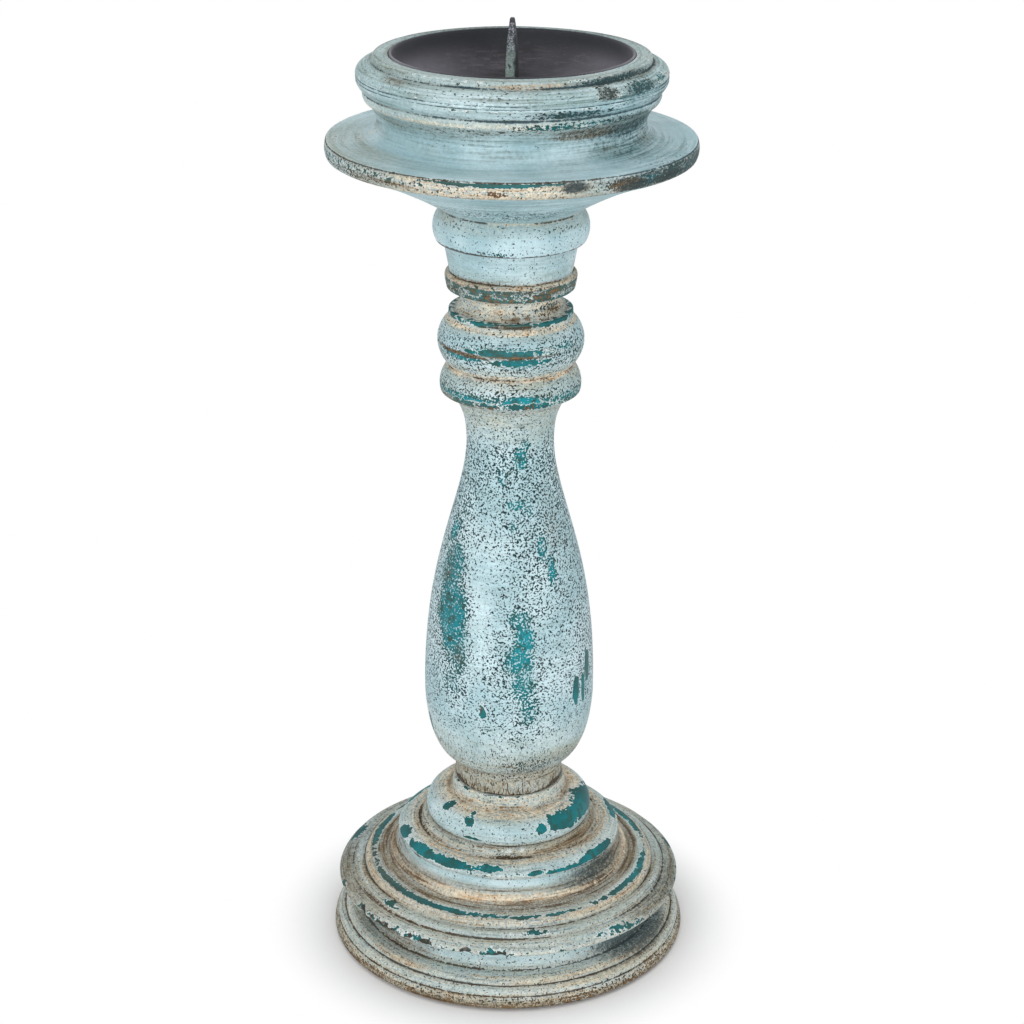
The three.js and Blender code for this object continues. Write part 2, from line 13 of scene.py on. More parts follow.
import bpy
import numpy as np
from mathutils import Euler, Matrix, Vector


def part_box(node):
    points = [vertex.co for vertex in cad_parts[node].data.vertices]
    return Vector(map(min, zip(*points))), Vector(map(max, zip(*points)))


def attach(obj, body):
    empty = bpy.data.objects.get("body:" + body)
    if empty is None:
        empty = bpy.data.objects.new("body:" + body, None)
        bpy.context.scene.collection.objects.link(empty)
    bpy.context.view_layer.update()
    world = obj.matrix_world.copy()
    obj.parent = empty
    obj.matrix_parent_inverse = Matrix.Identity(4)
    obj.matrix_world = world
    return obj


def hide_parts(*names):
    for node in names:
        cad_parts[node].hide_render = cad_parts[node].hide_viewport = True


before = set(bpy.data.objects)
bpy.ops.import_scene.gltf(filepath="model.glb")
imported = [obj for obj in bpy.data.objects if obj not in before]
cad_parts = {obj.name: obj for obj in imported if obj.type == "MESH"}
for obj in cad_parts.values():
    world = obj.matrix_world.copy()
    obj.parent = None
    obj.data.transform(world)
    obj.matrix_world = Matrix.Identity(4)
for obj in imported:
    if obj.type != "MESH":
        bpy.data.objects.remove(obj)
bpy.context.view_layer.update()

LOG = logging.getLogger("candle_holder")
MM = 0.001
# A piece's map keeps this margin, and long straight runs take only this share of their length in it.
MAP_MARGIN = 0.002
PLAIN_SHARE = 0.15
BASE_SCREWS = tuple(f"base_screw_{number}" for number in range(1, 5))
FELT_PADS = tuple(f"felt_pad_{number}" for number in range(1, 5))
Colour = tuple[float, float, float, float]


def paint(red: int, green: int, blue: int) -> Colour:
    """Linear colour, with full opacity, of a paint that is written in screen values from 0 to 255."""
    shares = (value / 255 for value in (red, green, blue))
    return (*(s / 12.92 if s <= 0.04045 else ((s + 0.055) / 1.055) ** 2.4 for s in shares), 1.0)


class Layer(Enum):
    """Numbers that every point of the wood carries: the kinds of wear and painted shading, and the way along the turned
    outline.
    """

    WORN = "worn"
    BARE = "bare"
    SPECK = "speck"
    WASH = "wash"
    CREAM = "cream"
    DIRT = "dirt"
    SOOT_AND_SHADE = "soot_and_shade"
    LINE = "line"
    THIN = "thin_and_shading"
    GRAIN = "grain"
    WAY = "way"


class Slot(Enum):
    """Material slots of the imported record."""

    WOOD = "painted_wood"
    IRON = "blackened_iron"


class Socket:
    """A node's output that takes part in Python sums, each of which adds a Math node."""

    def __init__(self, bench: "Bench", output: bpy.types.NodeSocket) -> None:
        """Wraps one output of the bench's tree."""
        self.bench = bench
        self.output = output

    def maths(self, operation: str, *terms: Any) -> "Socket":
        """Result of one Math node on these numbers or sockets."""
        return self.bench.value("ShaderNodeMath", {"operation": operation}, dict(enumerate(terms)))

    def __add__(self, other: Any) -> "Socket":
        """Sum with a number or socket."""
        return self.maths("ADD", self, other)

    def __radd__(self, other: Any) -> "Socket":
        """Sum with a number on the left."""
        return self.maths("ADD", other, self)

    def __sub__(self, other: Any) -> "Socket":
        """Difference from a number or socket."""
        return self.maths("SUBTRACT", self, other)

    def __rsub__(self, other: Any) -> "Socket":
        """Difference with a number on the left."""
        return self.maths("SUBTRACT", other, self)

    def __mul__(self, other: Any) -> "Socket":
        """Product with a number or socket."""
        return self.maths("MULTIPLY", self, other)

    def __rmul__(self, other: Any) -> "Socket":
        """Product with a number on the left."""
        return self.maths("MULTIPLY", other, self)

    @property
    def swing(self) -> "Socket":
        """How far a noise is above or below its middle."""
        return self - 0.5

    def rise(self, low: Any, high: Any) -> "Socket":
        """Soft step from 0 at low to 1 at high."""
        step = {0: self, 1: low, 2: high, 3: 0.0, 4: 1.0}
        return self.bench.value("ShaderNodeMapRange", {"interpolation_type": "SMOOTHSTEP"}, step)

    def clamp(self) -> "Socket":
        """Value held between 0 and 1."""
        return self.bench.value("ShaderNodeClamp", {}, {0: self})


class Bench:
    """Workbench for one node tree, with the radius in metres of the drum for patterns that follow the turning."""

    DRUM = 0.06
    place: Socket | None = None

    def __init__(self, tree: bpy.types.NodeTree) -> None:
        """Clears the tree for work."""
        self.tree = tree
        tree.nodes.clear()

    def node(self, kind: str, settings: Mapping[str, Any], sockets: Mapping[Any, Any]) -> bpy.types.Node:
        """Adds any node.

        Args:
            kind: Blender's type name of the node.
            settings: Properties, which are set first.
            sockets: Values or sockets for the inputs, by name or number.

        Returns:
            The node.
        """
        made = self.tree.nodes.new(kind)
        for name, value in settings.items():
            setattr(made, name, value)
        for key, value in sockets.items():
            if isinstance(value, Socket):
                self.tree.links.new(value.output, made.inputs[key])
            else:
                made.inputs[key].default_value = value
        return made

    def value(self, kind: str, settings: Mapping[str, Any], sockets: Mapping[Any, Any],
              output: int | str = 0) -> Socket:
        """One output, by name or number, of a new node that is made as node() makes it."""
        return Socket(self, self.node(kind, settings, sockets).outputs[output])

    def here(self) -> Socket:
        """Place in the part's frame, in metres."""
        self.place = self.place or self.value("ShaderNodeTexCoord", {}, {}, "Object")
        return self.place

    def drum(self) -> Socket:
        """Rolls the turned outline round a drum.

        Returns:
            The place on the drum in metres.
        """
        flat = self.vector("MULTIPLY", self.here(), (1, 1, 0))
        round_drum = self.vector("MULTIPLY", self.vector("NORMALIZE", flat), (self.DRUM, self.DRUM, 0))
        along = self.value("ShaderNodeCombineXYZ", {}, {2: self.layer(Layer.WAY) * MM})
        return self.vector("ADD", round_drum, along)

    def vector(self, operation: str, *terms: Any) -> Socket:
        """Vector from one Vector Math node on these vectors or sockets."""
        return self.value("ShaderNodeVectorMath", {"operation": operation}, dict(enumerate(terms)))

    def part(self, vector: Socket, axis: int) -> Socket:
        """Coordinate of a vector along axis 0, 1 or 2."""
        return self.value("ShaderNodeSeparateXYZ", {}, {0: vector}, axis)

    def noise(self, grain: float, detail: float, roughness: float, stretch: Sequence[float] = (1, 1, 1),
              bend: float = 0.0, place: Socket | None = None) -> Socket:
        """Cloudy noise in space.

        Args:
            grain: Size of its clouds in millimetres.
            detail: Number of finer octaves.
            roughness: Share of each finer octave.
            stretch: How many times finer it is along X, Y and Z.
            bend: How far the clouds are drawn into swirls.
            place: Where it is taken, or else at the place in the part's frame.

        Returns:
            A value about 0.5.
        """
        place = place or self.here()
        if tuple(stretch) != (1, 1, 1):
            place = self.vector("MULTIPLY", place, tuple(stretch))
        sockets = {"Vector": place, "Scale": 1 / (grain * MM), "Detail": detail, "Roughness": roughness,
                   "Distortion": bend}
        return self.value("ShaderNodeTexNoise", {}, sockets)

    def cells(self, grain: float) -> Socket:
        """Distance to the nearest of scattered points, in a field with cells of this many millimetres."""
        return self.value("ShaderNodeTexVoronoi", {}, {"Vector": self.here(), "Scale": 1 / (grain * MM)}, "Distance")

    def layer(self, layer: Layer) -> Socket:
        """Amount of one kind of wear, from the mesh."""
        return self.value("ShaderNodeAttribute", {"attribute_name": layer.value}, {}, "Fac")

    def mix(self, share: Any, under: Any, over: Any) -> Socket:
        """Lower colour with a share of the upper one over it."""
        return self.value("ShaderNodeMix", {"data_type": "RGBA"}, {0: share, 6: under, 7: over}, 2)

    def tone(self, colour: Socket, strength: Any) -> Socket:
        """Colour made lighter or darker by a factor."""
        return self.value("ShaderNodeVectorMath", {"operation": "SCALE"}, {0: colour, "Scale": strength})

    def bump(self, height: Socket, depth: float) -> Socket:
        """Normal of a relief from 0 to 1 that is depth millimetres deep."""
        return self.value("ShaderNodeBump", {}, {"Strength": 1.0, "Distance": depth * MM, "Height": height})

    def surface(self, **sockets: Any) -> None:
        """Ends the tree in a Principled surface with these inputs, underscores standing for spaces."""
        named = {name.replace("_", " "): value for name, value in sockets.items()}
        self.node("ShaderNodeOutputMaterial", {}, {"Surface": self.value("ShaderNodeBsdfPrincipled", {}, named)})


def new_material(name: str) -> tuple[bpy.types.Material, Bench]:
    """Makes a material with an empty tree.

    Args:
        name: Name of the material.

    Returns:
        The material, and the bench for its tree.
    """
    material = bpy.data.materials.new(name)
    material.use_nodes = True
    return material, Bench(material.node_tree)


@dataclass(frozen=True)
class ChalkPaint:
    """Duck-egg chalk paint over teal on gessoed wood, rubbed, pitted, washed with beige and dirty in its hollows.

    The coat's depth is the millimetres of its relief, and the cover is how far dirt, gaps, soot and painted shade can
    hide it.
    """

    blue: Colour = paint(170, 202, 210)
    pale_blue: Colour = paint(200, 225, 232)
    green_grey: Colour = paint(142, 174, 170)
    thin_blue_and_shade: Colour = paint(112, 154, 160)
    thin_teal_and_shade: Colour = paint(64, 108, 112)
    bright_teal: Colour = paint(14, 142, 154)
    teal: Colour = paint(14, 116, 122)
    dark_teal: Colour = paint(16, 94, 98)
    deep_teal: Colour = paint(40, 82, 76)
    pit: Colour = paint(20, 48, 52)
    brown_pit: Colour = paint(50, 48, 38)
    beige: Colour = paint(206, 198, 176)
    sand: Colour = paint(152, 138, 110)
    cream: Colour = paint(234, 222, 198)
    peach: Colour = paint(208, 176, 140)
    torn: Colour = paint(228, 235, 233)
    wood: Colour = paint(130, 98, 68)
    dark_wood: Colour = paint(72, 58, 44)
    dirt: Colour = paint(128, 108, 80)
    seam: Colour = paint(58, 46, 33)
    blue_seam: Colour = paint(32, 66, 76)
    soot_and_shade: Colour = paint(46, 64, 68)
    coat_depth: float = 0.3
    cover: float = 0.85

    def material(self) -> bpy.types.Material:
        """Builds the paint from the wear that the meshes carry.

        Returns:
            The material.
        """
        material, bench = new_material("worn_chalk_paint")
        drum = bench.drum()
        cloud = bench.noise(26, 3, 0.55)
        ragged = bench.noise(4.2, 4, 0.65)
        crumb = bench.noise(1.7, 2, 0.6)
        worm = bench.noise(0.85, 1.5, 0.55, bend=0.3)
        grit = bench.noise(0.7, 2, 0.6)
        mottle = bench.noise(1.25, 3, 0.7)
        sweep = bench.noise(4.5, 3, 0.55, stretch=(0.08, 0.08, 1), place=drum)
        dash = bench.noise(0.85, 2, 0.6, stretch=(0.6, 0.6, 1), place=drum)
        strand = bench.noise(1.2, 3, 0.6, stretch=(1, 1, 0.1))
        fibre = bench.noise(0.6, 3, 0.6, stretch=(1, 1, 0.2))
        worn, bare, speck, wash, cream, dirt, soot_and_shade, line, thin_and_shading, grain = (
            bench.layer(layer) for layer in Layer if layer is not Layer.WAY)
        turn = bench.noise(1.0, 3, 0.6, stretch=(0.04, 0.04, 1), place=drum)
        turn = turn + grain * (fibre - turn)

        # Top coat, which is thin, washed or chalky in places; the thin share also paints shade and highlights.
        top = bench.mix(cloud.rise(0.36, 0.64), self.blue, self.pale_blue)
        top = bench.mix(sweep.rise(0.44, 0.68) * (0.1 + 0.8 * wash).clamp(), top, self.green_grey)
        # Where the thin share is high, the coat darkens as thin paint and as painted shade; where patches take it to
        # zero, it stays light as a painted highlight.
        rubbed = thin_and_shading * (0.5 + 1.6 * sweep.swing + 2.0 * turn.swing + 1.6 * mottle.swing + crumb.swing)
        thin_coat_and_shade = bench.mix((0.5 * turn + 0.5 * mottle).rise(0.44, 0.6), self.thin_blue_and_shade, self.thin_teal_and_shade)
        top = bench.mix(rubbed.clamp(), top, thin_coat_and_shade)
        spread = 0.2 + 1.2 * sweep + 2.0 * mottle.swing + 1.3 * turn.swing
        top = bench.mix((wash * spread).clamp(), top, bench.mix(turn.rise(0.42, 0.64), self.beige, self.sand))
        chalk = bench.mix((ragged * 0.5 + turn * 0.5).rise(0.48, 0.62), self.cream, self.peach)
        top = bench.mix((cream * (spread + crumb.swing)).rise(0.12, 0.75), top, chalk)
        streak = (0.6 + 3.2 * wash - 1.3 * thin_and_shading) * turn.swing
        dapple = 0.4 * grit.swing + (2.9 * wash + 1.7 * thin_and_shading) * mottle.swing
        top = bench.tone(top, 0.98 + streak + dapple + (0.25 - 0.5 * thin_and_shading).clamp() * strand.swing)

        # Undercoat, and the pits and flecks in the top coat.
        under = bench.mix(cloud.rise(0.42, 0.58), self.teal, self.dark_teal)
        under = bench.mix(ragged.rise(0.48, 0.66), under, self.deep_teal)
        pitted = speck * (0.6 + 0.8 * cloud + 0.9 * ragged.swing)
        level = 0.7 - 0.28 * pitted
        fleck = worm + (1.8 * thin_and_shading).clamp() * (dash - worm)
        fleck = fleck + grain * (fibre - fleck)
        pits = fleck.rise(level, level + 0.035)
        pit = bench.mix((ragged + 0.3 * (wash + dirt)).rise(0.54, 0.74), self.pit, self.brown_pit)
        fresh = (pitted.rise(0.9, 1.2) * ragged.rise(0.66, 0.46) * (1 - 2.5 * thin_and_shading)).clamp()
        bright = bench.mix(fresh, under, self.bright_teal)
        pit = bench.mix((pitted.rise(0.62, 0.9) * (1 - dirt)).clamp(), pit, bright)
        coat = bench.mix(pits, top, pit)
        blot = mottle + 0.1 * wash
        coat = bench.mix(blot.rise(0.68, 0.74) * (0.1 + 0.8 * wash), coat, self.brown_pit)
        coat = bench.mix(mottle.rise(0.38, 0.31) * 0.6 * wash, coat, self.torn)
        smear = (1.1 * wash * wash + 0.6 * dirt).clamp()
        coat = bench.mix(turn.rise(0.53, 0.64) * crumb.rise(0.36, 0.6) * smear, coat, self.dirt)

        # Chips with pale torn edges, and bare wood.
        torn = worn + (2.2 * ragged.swing + 1.1 * crumb.swing) * worn.rise(0.05, 0.35)
        chip = torn.rise(0.5, 0.55)
        coat = bench.mix(torn.rise(0.33, 0.46) * (1 - chip) * 0.8, coat, self.torn)
        coat = bench.mix(chip, coat, under)
        gone = bare + (1.6 * ragged.swing + 1.4 * crumb.swing) * bare.rise(0.05, 0.4)
        coat = bench.mix(gone.rise(0.48, 0.58), coat, bench.mix(strand.rise(0.4, 0.62), self.wood, self.dark_wood))

        # Dirt, dark gaps, and soot with painted shade over all.
        stroke = turn + (1.6 * thin_and_shading).clamp() * (mottle - turn)
        stain = dirt * (0.35 + 1.2 * sweep + 2.2 * stroke.swing + 1.2 * grit.swing + 0.8 * crumb.swing)
        stain = stain.rise(0.12, 0.85)
        grime = bench.mix((0.6 * stroke + 0.4 * grit).rise(0.45, 0.58), self.dirt, self.dark_wood)
        coat = bench.mix(stain * self.cover, coat, grime)
        gap = line * (1 + 2.0 * ragged.swing + 1.6 * crumb.swing + 1.2 * grit.swing)
        gap_colour = bench.mix(thin_and_shading.rise(0.1, 0.4), self.seam, self.blue_seam)
        coat = bench.mix(gap.rise(0.42, 0.6) * self.cover, coat, gap_colour)
        # Soot, and painted shade in places, darken the coat here.
        shade_and_soot_mask = soot_and_shade * (0.5 + sweep + 1.8 * grit.swing + 1.4 * crumb.swing + 3.0 * thin_and_shading * mottle.swing)
        coat = bench.mix(shade_and_soot_mask.rise(0.1, 0.8) * self.cover, coat, self.soot_and_shade)

        # Relief and gloss.
        relief = (1 - chip) * 0.5 + (1 - pits) * 0.22 + turn * 0.3 + crumb * 0.12 + grit * wash * 0.15 + strand * 0.08
        roughness = (0.52 + 0.3 * wash - 0.1 * chip + 0.3 * stain).clamp()
        bench.surface(Base_Color=coat, Roughness=roughness, Specular_IOR_Level=0.22,
                      Normal=bench.bump(relief, self.coat_depth))
        return material


@dataclass(frozen=True)
class BlackIron:
    """Iron blackened by heat.

    The pan has a painted sheen on its flanks and painted shade on its far upper wall, and the spike is grey above,
    green below and painted with shade on one side.
    """

    black: Colour = paint(40, 38, 43)
    grey: Colour = paint(62, 60, 67)
    flank_sheen: Colour = paint(136, 134, 143)
    rust: Colour = paint(84, 80, 82)
    steel: Colour = paint(122, 120, 134)
    fleck: Colour = paint(186, 196, 198)
    verdigris: Colour = paint(146, 170, 160)
    soot_and_shade: Colour = paint(30, 36, 42)
    verdigris_low: float = 404
    verdigris_high: float = 420
    flank: float = 46
    far_shade_low: float = 399
    far_shade_high: float = 409
    tip_low: float = 422.4
    tip_high: float = 424.6
    scale_depth: float = 0.12

    def material(self, name: str, weathered: bool) -> bpy.types.Material:
        """Builds the iron.

        Args:
            name: Name of the material.
            weathered: True for the spike, which has turned grey and green.

        Returns:
            The material.
        """
        material, bench = new_material(name)
        cloud = bench.noise(14, 4, 0.6)
        scale = bench.noise(2.4, 3, 0.6)
        grit = bench.noise(0.6, 2, 0.6)
        scratch = bench.noise(1.2, 3, 0.65, stretch=(0.1, 0.4, 1))
        colour = bench.mix(cloud.rise(0.4, 0.68), self.black, self.grey)
        colour = bench.mix((scratch * 0.7 + grit * 0.3).rise(0.53, 0.64) * 0.6, colour, self.rust)
        colour = bench.mix((scratch * 0.6 + grit * 0.4).rise(0.47, 0.38) * 0.85, colour, self.soot_and_shade)
        aside, depth, height = (bench.part(bench.here(), axis) * (1 / MM) for axis in range(3))
        # Painted sheen: the pan's flanks grow lighter towards both sides.
        flank = aside * aside * (1 / self.flank ** 2)
        colour = bench.mix((flank * (0.3 + 0.8 * cloud)).clamp(), colour, self.flank_sheen)
        # Painted shade on the pan's far upper wall.
        behind = depth.rise(-self.flank / 2, self.flank / 2)
        shade_and_soot_mask = (height + 6 * cloud.swing).rise(self.far_shade_low, self.far_shade_high) * behind
        colour = bench.mix(shade_and_soot_mask * 0.8, colour, self.soot_and_shade)
        if weathered:
            colour = bench.mix(grit.rise(0.4, 0.56), self.soot_and_shade, self.steel)
            low = height + 16 * scale.swing + 10 * grit.swing
            colour = bench.mix(low.rise(self.verdigris_high, self.verdigris_low) * 0.9, colour, self.verdigris)
            colour = bench.mix((grit * 0.7 + scale * 0.3).rise(0.54, 0.6) * 0.8, colour, self.fleck)
            colour = bench.mix((grit * 0.6 + scale * 0.4).rise(0.45, 0.38) * 0.9, colour, self.soot_and_shade)
            # Painted shade on the spike's side towards +X.
            colour = bench.mix((aside + 4 * scale.swing).rise(0.2, 1.5) * 0.92, colour, self.soot_and_shade)
            colour = bench.mix(height.rise(self.tip_low, self.tip_high) * 0.8, colour, self.soot_and_shade)
        relief = scale * 0.6 + grit * 0.2 + cloud * 0.2
        bench.surface(Base_Color=colour, Roughness=0.42 + 0.24 * cloud, Metallic=0.1,
                      Specular_IOR_Level=0.5 if weathered else 0.3, Normal=bench.bump(relief, self.scale_depth))
        return material


@dataclass(frozen=True)
class ZincPlate:
    """Dull zinc plating with darker spangles."""

    bright: Colour = paint(176, 178, 178)
    dull: Colour = paint(118, 120, 120)

    def material(self) -> bpy.types.Material:
        """Builds the plating.

        Returns:
            The material.
        """
        material, bench = new_material("dull_zinc")
        spangle = bench.cells(1.6)
        grit = bench.noise(0.5, 2, 0.6)
        colour = bench.mix((spangle * 0.7 + grit * 0.4).rise(0.3, 0.8), self.bright, self.dull)
        bench.surface(Base_Color=colour, Roughness=0.3 + 0.3 * grit, Metallic=0.9, Normal=bench.bump(grit, 0.03))
        return material


@dataclass(frozen=True)
class BrownFelt:
    """Pressed felt with loose fibres."""

    brown: Colour = paint(84, 66, 50)
    lint: Colour = paint(122, 104, 84)

    def material(self) -> bpy.types.Material:
        """Builds the felt.

        Returns:
            The material.
        """
        material, bench = new_material("brown_felt")
        fibre = bench.noise(0.7, 3, 0.7, stretch=(1, 3, 1), bend=1.2)
        tuft = bench.noise(3, 2, 0.5)
        colour = bench.mix((fibre * 0.7 + tuft * 0.3).rise(0.45, 0.68), self.brown, self.lint)
        bench.surface(Base_Color=colour, Roughness=0.95, Normal=bench.bump(fibre, 0.2))
        return material


@dataclass(frozen=True)
class Patch:
    """Place on the wood where one kind of wear or painted shading gathers.

    It is an ellipse that is half_turn degrees and half_height millimetres from its middle to its edge. It leans by
    lean degrees for each millimetre upwards, and an amount below zero takes wear away.
    """

    layer: Layer
    azimuth: float
    height: float
    half_turn: float
    half_height: float
    amount: float = 1.0
    soft: float = 0.8
    lean: float = 0.0

    def weigh(self, azimuth: np.ndarray, height: np.ndarray) -> np.ndarray:
        """Wear that it brings.

        Args:
            azimuth: Degrees round from the front, one for each column.
            height: Millimetres above the table, one for each row.

        Returns:
            The amounts, rows by columns.
        """
        rise = height[:, None] - self.height
        turn = (azimuth[None, :] - self.azimuth - self.lean * rise + 180) % 360 - 180
        reach = np.hypot(turn / self.half_turn, rise / self.half_height)
        inner = np.clip((1 + self.soft - reach) / (2 * self.soft), 0, 1)
        return self.amount * inner * inner * (3 - 2 * inner)


@dataclass(frozen=True)
class Strew:
    """Patches of one kind strewn over the far side, where they carry on the wear of the near one."""

    layer: Layer
    count: int
    low: float
    high: float
    half_turn: float
    half_height: float
    amount: float = 1.0
    soft: float = 0.5
    far_side: tuple[float, float] = (100, 260)
    sizes: tuple[float, float] = (0.5, 1.5)

    def patches(self, chance: np.random.Generator) -> list[Patch]:
        """Strews the patches.

        Args:
            chance: Source of their places and sizes.

        Returns:
            The patches.
        """
        strewn = []
        for _ in range(self.count):
            azimuth, height = chance.uniform(*self.far_side), chance.uniform(self.low, self.high)
            half_turn, half_height = (self.half_turn, self.half_height) * chance.uniform(*self.sizes, 2)
            strewn.append(Patch(self.layer, azimuth, height, half_turn, half_height, self.amount, self.soft))
        return strewn


class LatticeNoise:
    """Smooth seeded noise in space, from -1 to 1."""

    SIZE = 32

    def __init__(self, seed: int) -> None:
        """Draws the lattice."""
        self.lattice = np.random.default_rng(seed).uniform(-1, 1, (self.SIZE,) * 3)

    def at(self, points: np.ndarray, grain: float) -> np.ndarray:
        """Noise at these points.

        Args:
            points: Points, with their coordinates in the last axis.
            grain: Size of the lattice's cells, in the points' unit.

        Returns:
            One value for each point.
        """
        cell = np.floor(points / grain).astype(int)
        part = points / grain - cell
        part = part * part * (3 - 2 * part)
        total = np.zeros(points.shape[:-1])
        for corner in np.ndindex(2, 2, 2):
            share = np.prod(np.where(corner, part, 1 - part), axis=-1)
            total += share * self.lattice[tuple(np.moveaxis((cell + corner) % self.SIZE, -1, 0))]
        return total


class TurnedOutline:
    """Half section of a turned CAD node, smoothed between its corners and worn at its edges.

    The node is cut through the middle of one of its facets. Bends over CORNER degrees stay sharp, and those under
    STRAIGHT are dropped. Points lie STEP millimetres apart. Straight runs over LONG_RUN have their rows LONG_PITCH
    apart, and rows where the outline bends may be as near as BEND_PITCH. The line, the edge and the hollow are how far
    averages over the REACHES move the outline, against the DEPTHS.
    """

    CUT_AZIMUTH = 50.625
    NUDGE = 1e-7
    OFF_AXIS = 1e-3
    SHORTEST = 1e-4
    FACETS = 32
    CORNER = 44.0
    STRAIGHT = 0.4
    JOIN = 0.02
    STEP = 0.2
    LONG_RUN = 16.0
    LONG_PITCH = 5.0
    UNEVEN = 2.5
    BEND = 0.03
    BEND_PITCH = 0.35
    AXIS_RADIUS = 0.05
    REACHES = (0.6, 1.2, 2.8)
    DEPTHS = (0.1, 0.24, 0.6)

    def __init__(self, node: str, pitch: float, worn_edge: float) -> None:
        """Cuts the node and lays rows along its outline.

        Args:
            node: Name of the CAD node.
            pitch: Distance between rows in millimetres.
            worn_edge: Reach of the wear that rounds its edges, in millimetres.
        """
        corners, self.closed = self._cut(node)
        fine, plain = self._smooth(corners)
        fine = self._soften(fine, worn_edge)
        normal = self._normals(fine)
        rows = self._rows(fine, normal, plain, pitch)
        self.radius, self.height = np.maximum(fine[rows, 0], self.AXIS_RADIUS), fine[rows, 1]
        self.normal = normal[rows]
        narrow, near, broad = (((self._soften(fine, reach) - fine) * normal).sum(1)[rows] / depth
                               for reach, depth in zip(self.REACHES, self.DEPTHS))
        self.line, self.edge, self.hollow = (np.clip(amount, 0, 1) for amount in (narrow, -near, broad))
        self.way = rows * self.STEP
        self.plain = plain[rows]

    def _cut(self, node: str) -> tuple[np.ndarray, bool]:
        """Cuts the node through the middle of a facet.

        Args:
            node: Name of the CAD node.

        Returns:
            The corners as radius and height in millimetres, with the wood on their left, and whether they close.
        """
        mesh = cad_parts[node].data
        mesh.calc_loop_triangles()
        points = np.array([vertex.co for vertex in mesh.vertices]) / MM
        faces = np.array([triangle.vertices for triangle in mesh.loop_triangles])
        turn = math.radians(self.CUT_AZIMUTH)
        outward = points[:, 0] * math.cos(turn) + points[:, 1] * math.sin(turn)
        side = points[:, 1] * math.cos(turn) - points[:, 0] * math.sin(turn) + self.NUDGE
        half = np.stack([outward / math.cos(math.pi / self.FACETS), points[:, 2]], 1)
        spans = []
        for face in faces:
            ends = []
            for a, b in zip(face, np.roll(face, -1)):
                if (side[a] < 0) != (side[b] < 0):
                    ends.append(half[a] + (half[b] - half[a]) * side[a] / (side[a] - side[b]))
            if ends and max(ends[0][0], ends[1][0]) > self.OFF_AXIS:
                if np.hypot(*(ends[1] - ends[0])) > self.SHORTEST:
                    spans.append(ends)
        return self._chain(np.array(spans))

    @staticmethod
    def _chain(spans: np.ndarray) -> tuple[np.ndarray, bool]:
        """Joins the cut's spans end to end.

        Args:
            spans: The two ends of each span.

        Returns:
            The corners in order, with the wood on their left, and whether they close.
        """
        left = np.ones(len(spans), bool)
        left[0] = False
        line = [spans[0][0], spans[0][1]]
        for _ in range(2):
            while left.any():
                gaps = np.hypot(*(spans - line[-1]).transpose(2, 0, 1))
                gaps[~left] = np.inf
                best, end = np.unravel_index(gaps.argmin(), gaps.shape)
                if gaps[best, end] > TurnedOutline.JOIN:
                    break
                left[best] = False
                line.append(spans[best][1 - end])
            line.reverse()
        closed = np.hypot(*(line[0] - line[-1])) < TurnedOutline.JOIN
        points = np.array(line[:-1] if closed else line)
        keep = TurnedOutline._bends(points) > TurnedOutline.STRAIGHT
        if not closed:
            keep[[0, -1]] = True
        points = points[keep]
        after = np.roll(points, -1, 0)
        if (points[:, 0] * after[:, 1] - points[:, 1] * after[:, 0]).sum() < 0:
            points = points[::-1]
        return points, bool(closed)

    @staticmethod
    def _bends(points: np.ndarray) -> np.ndarray:
        """Measures how sharply the outline turns.

        Args:
            points: Its points in order.

        Returns:
            The degrees at each of them.
        """
        before, after = points - np.roll(points, 1, 0), np.roll(points, -1, 0) - points
        across = before[:, 0] * after[:, 1] - before[:, 1] * after[:, 0]
        return np.degrees(np.abs(np.arctan2(across, (before * after).sum(1))))

    def _smooth(self, corners: np.ndarray) -> tuple[np.ndarray, np.ndarray]:
        """Runs a spline through the points between two corners.

        Args:
            corners: The outline's points in order.

        Returns:
            Evenly spaced points, and which of them lie on long straight runs.
        """
        sharp = self._bends(corners) > self.CORNER
        if self.closed:
            first = int(np.argmax(sharp))
            corners, sharp = np.roll(corners, -first, 0), np.roll(sharp, -first)
            corners, sharp = np.vstack([corners, corners[:1]]), np.append(sharp, True)
        else:
            sharp[[0, -1]] = True
        marks = np.flatnonzero(sharp)
        dense, plain = [], []
        for start, stop in zip(marks[:-1], marks[1:]):
            run = corners[start:stop + 1]
            padded = np.vstack([self._beyond(run), run, self._beyond(run[::-1])])
            for i in range(len(run) - 1):
                length = np.hypot(*(run[i + 1] - run[i]))
                count = max(2, int(length / (self.STEP / 3)))
                share = np.linspace(0, 1, count, endpoint=False)
                dense.append(self._spline(padded[i:i + 4], share))
                plain.append(np.full(count, length > self.LONG_RUN))
        dense.append(corners[-1:])
        plain.append(plain[-1][-1:])
        points, flags = np.vstack(dense), np.concatenate(plain)
        way = np.append(0, np.cumsum(np.hypot(*np.diff(points, axis=0).T)))
        even = np.arange(0, way[-1], self.STEP)
        spread = np.stack([np.interp(even, way, points[:, 0]), np.interp(even, way, points[:, 1])], 1)
        return spread, flags[np.searchsorted(way, even, "right").clip(1) - 1]

    @staticmethod
    def _beyond(run: np.ndarray) -> np.ndarray:
        """Carries a run on beyond its first point, along its bend, or straight where it is short or uneven.

        Args:
            run: Points in order.

        Returns:
            The point before them.
        """
        if len(run) < 3:
            return 2 * run[0] - run[1]
        first, second = np.hypot(*(run[1] - run[0])), np.hypot(*(run[2] - run[1]))
        if max(first, second) > TurnedOutline.UNEVEN * min(first, second):
            return 2 * run[0] - run[1]
        return 3 * run[0] - 3 * run[1] + run[2]

